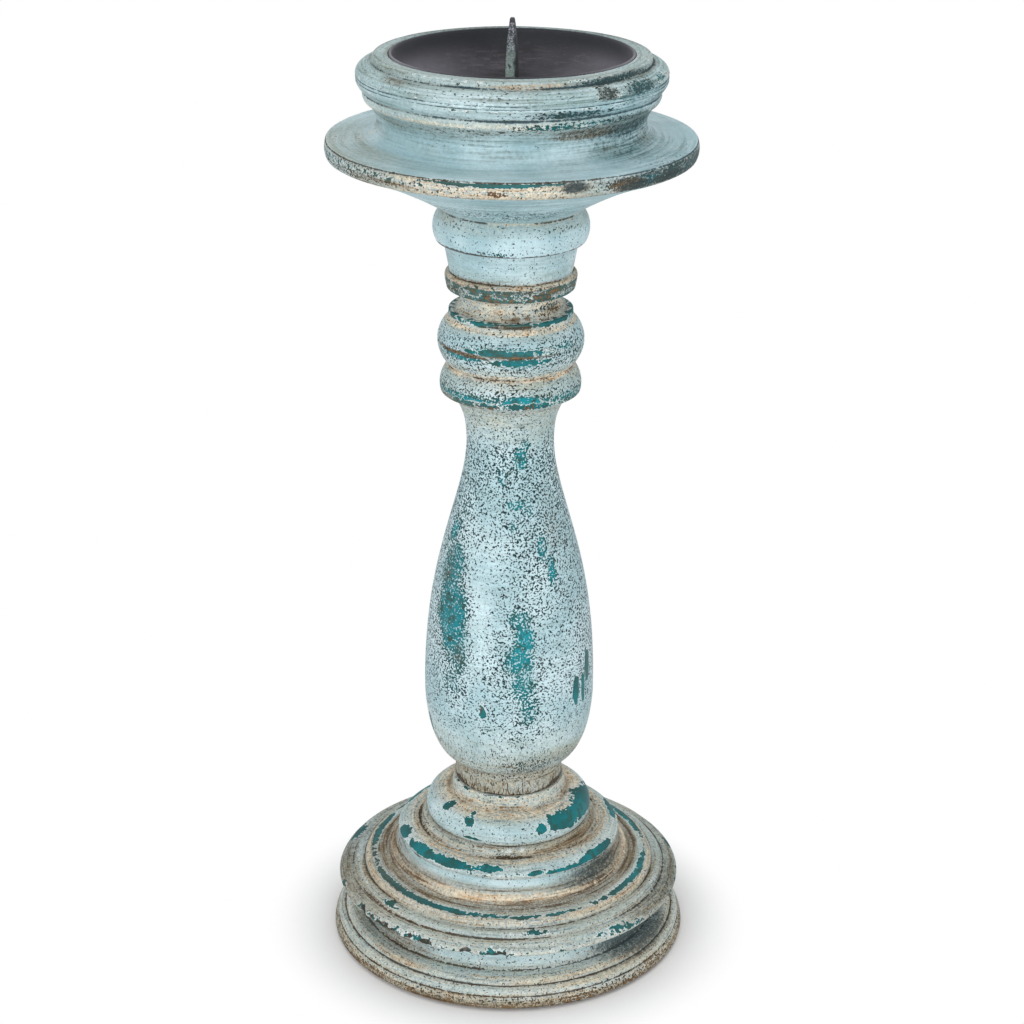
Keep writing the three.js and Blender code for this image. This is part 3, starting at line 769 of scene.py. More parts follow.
    @staticmethod
    def _spline(four: np.ndarray, share: np.ndarray) -> np.ndarray:
        """Points between the middle two of four points.

        Args:
            four: Four points in order.
            share: Shares of the way from the second to the third.

        Returns:
            One point for each share.
        """
        knots = np.append(0, np.cumsum(np.hypot(*np.diff(four, axis=0).T) ** 0.5 + 1e-9))
        at = (knots[1] + share * (knots[2] - knots[1]))[:, None]
        level = [np.broadcast_to(point, (len(share), 2)) for point in four]
        for depth in range(1, 4):
            spans = [(knots[1], knots[2])] if depth == 3 else zip(knots, knots[depth:])
            level = [((high - at) * before + (at - low) * after) / (high - low)
                     for before, after, (low, high) in zip(level, level[1:], spans)]
        return level[0]

    def _soften(self, points: np.ndarray, reach: float) -> np.ndarray:
        """Averages the outline along itself.

        Args:
            points: Evenly spaced points.
            reach: Reach of the average in millimetres.

        Returns:
            The averaged points.
        """
        width = reach / self.STEP
        half = int(3 * width) + 1
        weights = np.exp(-0.5 * (np.arange(-half, half + 1) / width) ** 2)
        weights /= weights.sum()
        padded = np.pad(points, ((half, half), (0, 0)), mode="wrap" if self.closed else "edge")
        return np.stack([np.convolve(padded[:, i], weights, "valid") for i in range(2)], 1)

    @staticmethod
    def _normals(points: np.ndarray) -> np.ndarray:
        """Finds the directions out of the wood.

        Args:
            points: Evenly spaced points.

        Returns:
            One direction for each point.
        """
        along = np.roll(points, -1, 0) - np.roll(points, 1, 0)
        along /= np.hypot(*along.T)[:, None] + 1e-12
        return np.stack([along[:, 1], -along[:, 0]], 1)

    def _rows(self, points: np.ndarray, normal: np.ndarray, plain: np.ndarray, pitch: float) -> np.ndarray:
        """Chooses rows, closer where the outline bends.

        Args:
            points: Evenly spaced points.
            normal: Their directions out of the wood.
            plain: Which of them lie on long straight runs.
            pitch: Distance between rows in millimetres.

        Returns:
            The numbers of the chosen points.
        """
        chosen = [0]
        for i in range(1, len(points)):
            gap = (i - chosen[-1]) * self.STEP
            bend = 1 - float(normal[i] @ normal[chosen[-1]])
            if gap >= (self.LONG_PITCH if plain[i] else pitch) or (bend > self.BEND and gap >= self.BEND_PITCH):
                chosen.append(i)
        return np.array(chosen)


def around(radius: np.ndarray | float, azimuth: np.ndarray, height: np.ndarray) -> np.ndarray:
    """Points round the axis.

    Args:
        radius: Distance from the axis, by rows and columns.
        azimuth: Degrees round from the front, one for each column.
        height: Height, by rows and columns.

    Returns:
        The points, rows by columns by three.
    """
    turn = np.radians(azimuth)[None, :]
    return np.stack(np.broadcast_arrays(radius * np.sin(turn), -radius * np.cos(turn), height + 0 * turn), -1)


def columns_round(count: int) -> np.ndarray:
    """Degrees of evenly spaced columns, from behind through the front."""
    return np.linspace(-180, 180, count, endpoint=False)


def placed(name: str, data: bpy.types.ID) -> bpy.types.Object:
    """Puts a new object in the scene.

    Args:
        name: Name of the object.
        data: Its mesh, light or camera.

    Returns:
        The object.
    """
    made = bpy.data.objects.new(name, data)
    bpy.context.scene.collection.objects.link(made)
    return made


def spread(mesh: bpy.types.Mesh, layer: Layer, amounts: np.ndarray) -> None:
    """Gives every point of a mesh its amount of one layer."""
    attribute = mesh.attributes.new(layer.value, "FLOAT", "POINT")
    attribute.data.foreach_set("value", amounts.astype(np.float32).ravel())


def loft(name: str, stacks: Sequence[np.ndarray]) -> bpy.types.Mesh:
    """Mesh of closed bodies, each skinned over its rings and capped at both ends.

    Args:
        name: Name of the mesh.
        stacks: Points of each body in metres, rings by sides by three, from the bottom up.

    Returns:
        The mesh.
    """
    corners, faces = [], []
    for rings in stacks:
        number = len(corners) + np.arange(rings[..., 0].size).reshape(rings.shape[:2])
        beside = np.roll(number, -1, 1)
        skin = np.stack([number[:-1], beside[:-1], beside[1:], number[1:]], -1)
        corners += rings.reshape(-1, 3).tolist()
        faces += [*skin.reshape(-1, 4).tolist(), number[0, ::-1].tolist(), number[-1].tolist()]
    mesh = bpy.data.meshes.new(name)
    mesh.from_pydata(corners, [], faces)
    return mesh


@dataclass
class TurnedPiece:
    """One wooden piece: a fine turning of its CAD node that carries the wear of its paint.

    The ground gives a layer's amount at some heights, the patches change it in places as Patch tells, the strewn ones
    lie on the far side, and the chips are broken out of the rim. Noise makes the turning wobble, roughens the chips and
    lets the wear drift along the edges and hollows.
    """

    WOBBLE_GRAINS = (26, 7)
    CHIP_SEED = 200
    CHIP_GRAINS = (4, 2.4)
    DRIFT_SEED = 100
    DRIFT_GRAIN = 9
    DRIFT_DRUM = 30

    node: str
    columns: int
    pitch: float
    seed: int
    ground: Mapping[Layer, Sequence[tuple[float, float]]]
    patches: Mapping[Layer, Sequence[tuple[float, ...]]]
    strewn: Sequence[Strew]
    chips: Sequence[Patch] = ()
    edge_wear: float = 0.25
    hollow_line: float = 0.75
    hollow_dirt: float = 0.3
    hollow_cream: float = 0.05
    edge_cream: float = 0.1
    worn_edge: float = 0.32
    wobble: float = 0.14
    rim_depth: float = 7
    most_wear: float = 1.4

    def __post_init__(self) -> None:
        """Cuts the outline and lays its points round the axis."""
        self.outline = TurnedOutline(self.node, self.pitch, self.worn_edge)
        self.azimuth = columns_round(self.columns)
        self.points = around(self.outline.radius[:, None], self.azimuth, self.outline.height[:, None])

    def build(self, finish: bpy.types.Material) -> bpy.types.Object:
        """Turns the piece, wears it and paints it.

        Args:
            finish: Paint of the piece.

        Returns:
            The piece, riding on the part.
        """
        bites = self._bites()
        piece = turned_object(f"{self.node}_turned", self._rings(bites), self.outline)
        for layer, amounts in self._wear(bites).items():
            spread(piece.data, layer, amounts)
        piece.data.materials.append(finish)
        settle(piece, self.node)
        return piece

    def _bites(self) -> np.ndarray:
        """Breaks chips out of the rim, straight in towards the axis.

        Returns:
            Their depths in millimetres, rows by columns.
        """
        radius, mirrored = self.outline.radius[:, None], self.points * (1, -1, 1)
        noise, (coarse, fine) = LatticeNoise(self.seed + self.CHIP_SEED), self.CHIP_GRAINS
        rough = np.clip(0.6 + 0.9 * noise.at(mirrored, coarse) + 0.4 * noise.at(mirrored, fine), 0, 1.4)
        rim = np.clip((radius - radius.max() + self.rim_depth) / (0.7 * self.rim_depth), 0, 1)
        return sum((chip.weigh(self.azimuth, self.outline.height) for chip in self.chips), 0) * rough * rim

    def _rings(self, bites: np.ndarray) -> np.ndarray:
        """Gives the points the wobble of hand turning and the chips.

        Args:
            bites: Depths of the chips in millimetres.

        Returns:
            Points in metres, rows by columns by three.
        """
        noise, (coarse, fine) = LatticeNoise(self.seed), self.WOBBLE_GRAINS
        offset = self.wobble * (0.7 * noise.at(self.points, coarse) + 0.3 * noise.at(self.points, fine))
        normal_out, normal_up = self.outline.normal.T[:, :, None]
        return (self.points + around(offset * normal_out - bites, self.azimuth, offset * normal_up)) * MM

    def _wear(self, bites: np.ndarray) -> dict[Layer, np.ndarray]:
        """Gathers each kind of wear at every point.

        Args:
            bites: Depths of the chips in millimetres.

        Returns:
            The amounts by layer, rows by columns.
        """
        outline, azimuth = self.outline, self.azimuth
        wear = {layer: np.zeros(bites.shape) for layer in Layer}
        for layer, stations in self.ground.items():
            wear[layer] += np.interp(outline.height, *zip(*stations))[:, None]
        way, line, hollow, edge = (row[:, None] for row in (outline.way, outline.line, outline.hollow, outline.edge))
        noise = LatticeNoise(self.seed + self.DRIFT_SEED)
        drift = 1 + 0.9 * noise.at(around(self.DRIFT_DRUM, azimuth, way), self.DRIFT_GRAIN)
        wear[Layer.WORN] += self.edge_wear * edge * drift
        # Chips are painted dark inside: bare wood with painted shade in the notches.
        wear[Layer.LINE] += self.hollow_line * line * drift + np.clip(2.0 * bites - 0.6, 0, 1.2)
        wear[Layer.DIRT] += self.hollow_dirt * hollow * drift
        wear[Layer.CREAM] += self.hollow_cream * hollow * (2 - drift) + self.edge_cream * edge * drift
        chance = np.random.default_rng(self.seed)
        patches = [Patch(layer, *sizes) for layer, places in self.patches.items() for sizes in places]
        for patch in patches + [patch for strew in self.strewn for patch in strew.patches(chance)]:
            there, amount = wear[patch.layer], patch.weigh(azimuth, outline.height)
            wear[patch.layer] = np.maximum(there, amount) if patch.amount > 0 else there + amount
        wear = {layer: np.clip(amount, 0, self.most_wear) for layer, amount in wear.items()}
        wear[Layer.WAY] = np.broadcast_to(way, bites.shape)
        return wear


def turned_object(name: str, rings: np.ndarray, outline: TurnedOutline) -> bpy.types.Object:
    """Mesh object from rows of points round the axis.

    Args:
        name: Name of the object.
        rings: Points in metres, rows by columns by three.
        outline: Outline that the rows follow.

    Returns:
        The object, with a map that is unrolled round the axis.
    """
    rows, columns, _ = rings.shape
    last = rows if outline.closed else rows - 1
    row, column = np.meshgrid(np.arange(last), np.arange(columns), indexing="ij")
    below, beside = (row + 1) % rows, (column + 1) % columns
    corners = [row * columns + column, row * columns + beside, below * columns + beside, below * columns + column]
    faces = np.stack(corners, -1).reshape(-1, 4)
    mesh = bpy.data.meshes.new(name)
    mesh.from_pydata(rings.reshape(-1, 3).tolist(), [], faces.tolist())
    weight = np.diff(np.append(outline.way, outline.way[-1] + TurnedOutline.STEP))
    weight *= np.where(outline.plain, PLAIN_SHARE, 1.0)
    along = np.append(0, np.cumsum(weight)) / weight.sum()
    round_share = np.stack([column, column + 1, column + 1, column], -1) / columns
    along_share = np.stack([along[row], along[row], along[row + 1], along[row + 1]], -1)
    places = np.stack([round_share, along_share], -1) * (1 - 2 * MAP_MARGIN) + MAP_MARGIN
    mesh.uv_layers.new(name="OFBake").data.foreach_set("uv", places.astype(np.float32).ravel())
    mesh.shade_smooth()
    return placed(name, mesh)


def settle(piece: bpy.types.Object, node: str) -> None:
    """Lets a piece ride on the part in the place of a CAD node.

    Args:
        piece: New piece.
        node: CAD node that it stands for.
    """
    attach(piece, "root")
    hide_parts(node)


@dataclass
class Base:
    """Stepped round base: a dome on a plinth."""

    columns: int = 400
    pitch: float = 0.75
    sink_radius: float = 4.5
    sink_depth: float = 3
    shank_radius: float = 2.4
    sink_reach: float = 1.2
    sink_sides: int = 48

    def build(self, finish: bpy.types.Material) -> list[bpy.types.Object]:
        """Turns and paints both pieces.

        Args:
            finish: Paint of the wood.

        Returns:
            The pieces.
        """
        dome, plinth = self._dome().build(finish), self._plinth().build(finish)
        self._sink(plinth)
        return [dome, plinth]

    def _sink(self, plinth: bpy.types.Object) -> None:
        """Sinks bare holes for the screws' heads into the underside of the plinth.

        Args:
            plinth: The turned plinth.
        """
        azimuth = columns_round(self.sink_sides)
        radius = np.array([self.sink_radius, self.sink_radius, self.shank_radius])[:, None] * MM
        rise = np.array([-self.sink_reach, 0, self.sink_depth])[:, None] * MM
        stacks = []
        for screw in BASE_SCREWS:
            low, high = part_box(screw)
            middle = (low + high) / 2
            stacks.append(around(radius, azimuth, rise) + (middle.x, middle.y, low.z))
        mesh = loft("screw_sinks", stacks)
        for layer in (Layer.WORN, Layer.BARE):
            spread(mesh, layer, np.ones(len(mesh.vertices)))
        sinks = placed("screw_sinks", mesh)
        cut = plinth.modifiers.new("screw_sinks", "BOOLEAN")
        cut.operation, cut.solver, cut.object = "DIFFERENCE", "EXACT", sinks
        graph = bpy.context.evaluated_depsgraph_get()
        sunk = plinth.evaluated_get(graph)
        shape = bpy.data.meshes.new_from_object(sunk, preserve_all_data_layers=True, depsgraph=graph)
        plinth.modifiers.remove(cut)
        plinth.data = shape
        bpy.data.objects.remove(sinks)

    def _dome(self) -> TurnedPiece:
        """Dome with its torus, shoulder, cove and rim.

        Returns:
            The piece, not yet turned.
        """
        ground = {
            Layer.SPECK: [
                (26.6, 0.3), (31, 0.26), (34, 0.22), (38, 0.14), (44, 0.1), (50, 0.24), (54, 0.28), (62, 0.32),
                (70, 0.24), (77, 0.3),
            ],
            Layer.WASH: [
                (26.6, 0.6), (28, 0.5), (30, 0.65), (31.4, 0.7), (33, 0.48), (34, 0.6), (36.5, 0.8), (37.6, 0.5),
                (38.2, 0.9), (40, 0.7), (42, 0.75), (44.5, 0.5), (46, 0.15), (49, 0.1), (50, 0.45), (51, 0.3),
                (53, 0.45), (54.4, 0.65), (55.2, 0.9), (58, 0.8), (59, 0.5), (61, 0.25), (65, 0.15), (68, 0.3),
                (70, 0.7), (72, 0.65), (77, 0.55),
            ],
            Layer.DIRT: [
                (26.6, 0.25), (31, 0.2), (33.4, 0.25), (35, 0.28), (36, 0.36), (37, 0.4), (37.6, 0.15), (38.3, 0.75),
                (39.2, 0.5), (40, 0.05), (42, 0.2), (43.6, 0.4), (45.6, 0.08), (48, 0), (49.2, 0.3), (50.6, 0.2),
                (54, 0.1), (54.9, 0.4), (57, 0.2), (58, 0.4), (59.5, 0.05), (66, 0.02), (69.8, 0.05), (71, 0.2),
                (72.5, 0), (76, 0), (77, 0.2),
            ],
            Layer.CREAM: [
                (27.4, 0.1), (28, 0.35), (28.8, 0.05), (33.6, 0), (34.4, 0.25), (36.6, 0.55), (37, 0.1), (39.2, 0.05),
                (40, 0.8), (41.4, 0.75), (42.6, 0.1), (49, 0.05), (49.4, 0.45), (50.5, 0.1), (54, 0.1), (54.5, 0.6),
                (54.9, 0.1), (55.4, 0.6), (56, 0.15), (57.8, 0.1), (59, 0), (69, 0.1), (70.6, 0.7), (72, 0.4),
                (74, 0.4), (77, 0.3),
            ],
        }
        patches = {
            Layer.WORN: [
                (76, 66.4, 27, 3.6, 1.3, 0.6), (44, 65.8, 13, 3.6, 1.3, 0.6, -1.2), (24, 65.8, 4.4, 2.2, 1),
                (-55.5, 69.2, 5, 1.3, 0.95), (-29.5, 67.8, 3.8, 2.2, 0.95), (-26, 60.6, 7, 0.7, 0.8, 0.6),
                (-75, 52.1, 6, 1.8, 1.2, 0.5), (-53, 52.2, 12, 1.5, 1.3, 0.5), (-33, 52.5, 13, 1.4, 1.1, 0.6),
                (-12, 52.9, 10, 1, 0.85, 0.7), (54, 51.6, 14, 1.5, 1.3, 0.5), (32, 50.9, 14, 0.8, 1.1, 0.5),
                (14, 51.4, 10, 0.8, 0.82, 0.6), (-42, 37.3, 46, 0.36, 0.92, 0.7), (12, 37.15, 20, 0.26, 0.82, 0.6),
                (62, 37.2, 28, 0.36, 0.92, 0.7), (38, 30, 8, 1.4, 0.66), (47, 28.6, 7, 1.2, 0.7),
                (10, 33.2, 5, 0.7, 0.66), (-50, 33.2, 7, 0.7, 0.62), (-6, 28, 40, 0.8, 0.4, 0.6),
            ],
            Layer.DIRT: [
                (66, 43.5, 36, 5, 0.6, 0.7), (-80, 43.5, 36, 5, 0.6), (60, 56, 40, 1.6, 0.75, 0.7),
                (10, 39, 46, 1.3, 0.85), (-55, 39.4, 50, 1.6, -0.15), (-75, 41, 45, 5, 0.7), (-75, 30, 40, 4, 0.5),
                (75, 30, 40, 4, 0.45),
            ],
            Layer.WASH: [
                (62, 43.5, 36, 6, 0.95, 0.7), (-64, 31, 34, 6, 0.85, 0.7), (66, 31, 34, 6, 0.8, 0.7),
                (-16, 41, 40, 2, -0.3, 0.7),
            ],
            Layer.SOOT_AND_SHADE: [(50, 45, 24, 5, 0.65, 0.7), (70, 30.5, 34, 4, 0.4), (-78, 30.5, 34, 4, 0.25)],
            Layer.CREAM: [(-16, 41, 34, 2, 0.95, 0.7)],
            Layer.LINE: [(0, 71.2, 720, 1.4, -0.7, 0.6), (0, 57.4, 720, 0.8, -0.2, 0.6)],
        }
        strewn = [
            Strew(Layer.WORN, 5, 61, 69, 11, 2.8, 1.2, 0.5),
            Strew(Layer.WORN, 6, 51.2, 52.8, 13, 1.3, 1.2, 0.55),
            Strew(Layer.DIRT, 5, 40, 47, 28, 4, 0.7, 0.8),
            Strew(Layer.SOOT_AND_SHADE, 4, 28, 33, 26, 3, 0.4, 0.8),
            Strew(Layer.WORN, 6, 37, 37.4, 22, 0.4, 0.9, 0.4),
            Strew(Layer.WORN, 5, 28, 31, 6, 0.8, 0.9, 0.4),
        ]
        notches = [
            (-75.6, 2.4), (-58.2, 2.4), (-52, 1.6), (-46.4, 3.4), (-39.8, 2.6), (-34.6, 1.8), (-31.2, 1.5), (-27.9, 2),
            (-13.6, 1.8), (-5.4, 1.5), (-2.2, 1.6), (124, 3), (137, 2), (151, 3.4), (178, 2.2), (203, 3), (221, 2),
        ]
        chips = [Patch(Layer.WORN, azimuth, 27.6, wide, 1.8, 2.2, 0.5) for azimuth, wide in notches]
        patches[Layer.WORN] += [(azimuth, 27.8, wide + 0.8, 2.2, 0.7, 0.7) for azimuth, wide in notches]
        return TurnedPiece("base_dome", self.columns, self.pitch, 3, ground, patches, strewn, chips,
                           edge_wear=0.33, hollow_line=0.68)

    def _plinth(self) -> TurnedPiece:
        """Plinth with its scotia, beads and foot band.

        Returns:
            The piece, not yet turned.
        """
        ground = {
            Layer.SPECK: [(1, 0.7), (5.5, 0.55), (6.5, 0.34), (8, 0.24), (14, 0.28), (20, 0.24), (27, 0.2)],
            Layer.WASH: [
                (1.6, 0.9), (5, 0.85), (6.5, 0.65), (12, 0.65), (14, 0.5), (16, 0.25), (20, 0.08), (26.5, 0.08),
            ],
            Layer.DIRT: [
                (1.6, 0.75), (4, 0.5), (5.4, 0.3), (6.6, 0.4), (7.4, 0.1), (9.4, 0.1), (10, 0.4), (11, 0.1), (13, 0.2),
                (14.4, 0.2), (16, 0.1), (18, 0.05), (20, 0), (26.5, 0),
            ],
            Layer.CREAM: [
                (1.6, 0.3), (5, 0.4), (7, 0.2), (9, 0.25), (12, 0.35), (14, 0.15), (16, 0.25), (20, 0.12), (26.5, 0.1),
            ],
            Layer.BARE: [(1.6, 0.48), (3.5, 0.36), (5.6, 0.15), (6, 0)],
            Layer.LINE: [(6, 0), (6.6, 0.7), (7.2, 0), (9.6, 0), (10, 0.5), (10.4, 0)],
        }
        patches = {
            # Painted shade with soot in the scotia under the rim, heaviest on the right side.
            Layer.SOOT_AND_SHADE: [(58, 19, 24, 9, 0.9, 0.6), (55, 11, 28, 3, 0.35), (-66, 19, 22, 8, 0.3, 0.6)],
            Layer.DIRT: [(-54, 18, 28, 6, 0.65, 0.7)],
            Layer.WASH: [(-56, 18, 26, 6, 0.5, 0.7)],
        }
        strewn = [Strew(Layer.SOOT_AND_SHADE, 4, 14, 24, 18, 6, 0.7), Strew(Layer.WORN, 5, 3, 12, 8, 1, 0.8)]
        return TurnedPiece("base_plinth", self.columns, self.pitch, 5, ground, patches, strewn, hollow_dirt=0.15)


@dataclass
class Stem:
    """Baluster: neck, rings, vase and collar in one turning."""

    columns: int = 252
    pitch: float = 0.95

    def build(self, finish: bpy.types.Material) -> list[bpy.types.Object]:
        """Turns and paints the baluster."""
        return [self._baluster().build(finish)]

    def _baluster(self) -> TurnedPiece:
        """Baluster from its collar to its neck.

        Returns:
            The piece, not yet turned.
        """
        ground = {
            Layer.SPECK: [
                (77, 0.6), (84, 0.5), (90, 0.5), (100, 0.48), (112, 0.46), (125, 0.54), (140, 0.6), (190, 0.6),
                (215, 0.7), (238, 0.7), (248, 0.48), (256, 0.36), (264.5, 0.4), (265.5, 0.95), (269, 0.92), (272, 0.6),
                (275, 0.42), (279, 0.4), (284, 0.64), (288, 0.7), (293, 0.6), (297, 0.38), (303, 0.36), (310.8, 0.34),
                (311.6, 1.3), (316.6, 1.25), (317.3, 0.5), (321, 0.36), (332, 0.34),
            ],
            Layer.WASH: [
                (77, 0.9), (84, 0.85), (89, 0.8), (92, 0.65), (100, 0.45), (112, 0.2), (125, 0.03), (240, 0.05),
                (250, 0.3), (258, 0.5), (262, 0.6), (265, 0.35), (272, 0.3), (277, 0.6), (281, 0.4), (286, 0.15),
                (294, 0.06), (298, 0.45), (301, 0.55), (310, 0.5), (312, 0.5), (318, 0.4), (320, 0.25), (326, 0.05),
            ],
            Layer.DIRT: [
                (77, 0.5), (84, 0.3), (89, 0.35), (92, 0.15), (100, 0.08), (112, 0), (262, 0), (264.5, 0.25),
                (268, 0.1), (276, 0.05), (277.5, 0.2), (281, 0.05), (297, 0.1), (300, 0.2), (303, 0.06), (309, 0.04),
                (311.3, 0.45), (313, 0.5), (316.8, 0.45), (317.6, 0.4), (318.8, 0.45), (319.6, 0.05), (322, 0),
            ],
            Layer.CREAM: [
                (264, 0.1), (276, 0.15), (276.8, 0.7), (279, 0.6), (280, 0.1), (296.6, 0), (297.6, 0.65), (299.3, 0.5),
                (300, 0.1), (303, 0.42), (310, 0.4), (316.9, 0), (317.4, 0.8), (318.8, 0.7), (319.3, 0.1), (322, 0),
            ],
            Layer.WORN: [
                (299.6, 0), (300, 0.62), (301.8, 0.56), (302.2, 0), (311, 0), (311.6, 0.6), (316.6, 0.5), (317.1, 0),
            ],
            Layer.BARE: [(311, 0), (311.6, 0.36), (316.4, 0.36), (317.1, 0)],
            Layer.SOOT_AND_SHADE: [(311, 0), (311.6, 0.14), (316.4, 0.08), (317.2, 0)],
            Layer.LINE: [(76, 0.9), (77.4, 0.9), (78, 0.1), (79, 0)],
            Layer.THIN: [(318.8, 0), (320, 0.4), (332, 0.4)],
            Layer.GRAIN: [(77, 1), (83, 0.9), (85.5, 0.2), (88.6, 0.3), (90, 1), (102, 1), (118, 0)],
        }
        patches = {
            Layer.LINE: [(-68, 78.2, 22, 2, 0.9), (64, 78.4, 22, 2.2, 0.9), (5, 77.4, 60, 0.9, 0.8, 0.7)],
            Layer.DIRT: [
                (5, 303.2, 5, 1.2, 1.1, 0.6), (18, 303.4, 4, 1, 1.1, 0.6), (0, 300.8, 26, 1, 1),
                (0, 307.5, 720, 2.6, -0.2), (52, 304.5, 22, 2.6, 0.5), (2, 290.6, 44, 2, 0.3),
                (8, 286.2, 26, 1.8, 0.25), (4, 288.8, 34, 0.8, 0.8, 0.7), (-45, 288.4, 34, 1, 0.9, 0.6),
                (-45, 266, 34, 2, 0.6, 0.7), (-50, 172, 18, 30, 0.26), (-37, 151, 8, 5, 0.42), (-58, 188, 9, 12, 0.4),
                (45, 210, 14, 16, 0.3, 0.7), (8, 94.5, 30, 4, 0.35), (40, 96, 36, 5, 0.4),
            ],
            Layer.SPECK: [
                (50, 305.5, 24, 4, 0.8), (0, 290.6, 44, 2.4, 1.35, 0.6), (8, 286.2, 26, 2.2, 1.35, 0.6),
                (-44, 287.4, 26, 2.2, 1.2, 0.7), (48, 291, 16, 2.8, 0.9, 0.7), (10, 268.2, 20, 3.4, 1.35, 0.5),
                (-42, 267.4, 36, 2.8, 1.3, 0.6), (52, 268.2, 24, 3.2, 1, 0.7), (13, 239, 12, 7, 1.15),
                (20, 245, 9, 4, 0.95), (-10, 230, 8, 6, 0.9), (5, 219, 14, 3, 1.1, 0.7), (20, 218, 12, 9, 0.85),
                (2, 209, 8, 6, 0.9), (30, 200, 7, 8, 1.05), (37, 189, 6, 9, 1.1), (-20, 196, 20, 24, -0.22),
                (-24, 160, 10, 26, -0.2), (36, 150, 16, 26, -0.12), (-62, 203, 10, 8, 1.05),
                (-54, 187, 17, 16, 1.16, 0.7), (-48, 170, 18, 15, 1.28, 0.6), (-43, 158, 15, 10, 1.2, 0.6),
                (-38, 149, 13, 8, 1), (-42, 136, 16, 9, 0.8), (7, 170, 12, 6, 1), (11, 161, 9, 7, 1.28, 0.7),
                (7, 151, 13, 9, 1.18), (9, 139, 12, 10, 1.05), (13, 127, 10, 10, 0.95), (8, 112, 18, 9, 0.62),
                (16, 96, 32, 7, 0.75),
            ],
            Layer.WORN: [
                (0, 290.3, 38, 1.7, 0.95), (9, 286.4, 24, 1.6, 0.95), (-34, 266.6, 34, 1.5, 0.85),
                (14, 266.6, 26, 1.6, 0.85), (66.5, 140, 3.6, 8.5, 1.5, 0.3), (60, 130, 2.4, 7, 1.5, 0.3),
                (51.4, 130.4, 3.4, 6.6, 1.5, 0.3), (-18.2, 125.8, 3.2, 3.2, 1.3, 0.4), (-74, 108, 3, 5, 1.3, 0.3),
            ],
            Layer.BARE: [
                (4, 289, 30, 0.6, 0.5), (16, 266.4, 6, 1.4, 0.7, 0.6), (-14, 265.8, 10, 0.8, 0.6, 0.6),
                (-18.6, 126.4, 2.2, 2.6, 1.3, 0.3),
            ],
            Layer.CREAM: [(-12, 255, 22, 6, 0.3)],
            Layer.WASH: [(50, 99, 36, 8, 0.55), (5, 97, 24, 6, 0.62)],
        }
        strewn = [
            Strew(Layer.SPECK, 12, 125, 240, 12, 11, 1.15, 0.8),
            Strew(Layer.SPECK, 4, 266, 270, 20, 2.2, 1.25, 0.45),
            Strew(Layer.SPECK, 4, 286, 291, 22, 1.8, 1.25, 0.45),
            Strew(Layer.WORN, 5, 110, 160, 3, 6, 1.25, 0.2),
            Strew(Layer.DIRT, 5, 92, 110, 18, 5, 0.45, 0.7),
        ]
        return TurnedPiece("baluster", self.columns, self.pitch, 7, ground, patches, strewn, hollow_line=0.5)


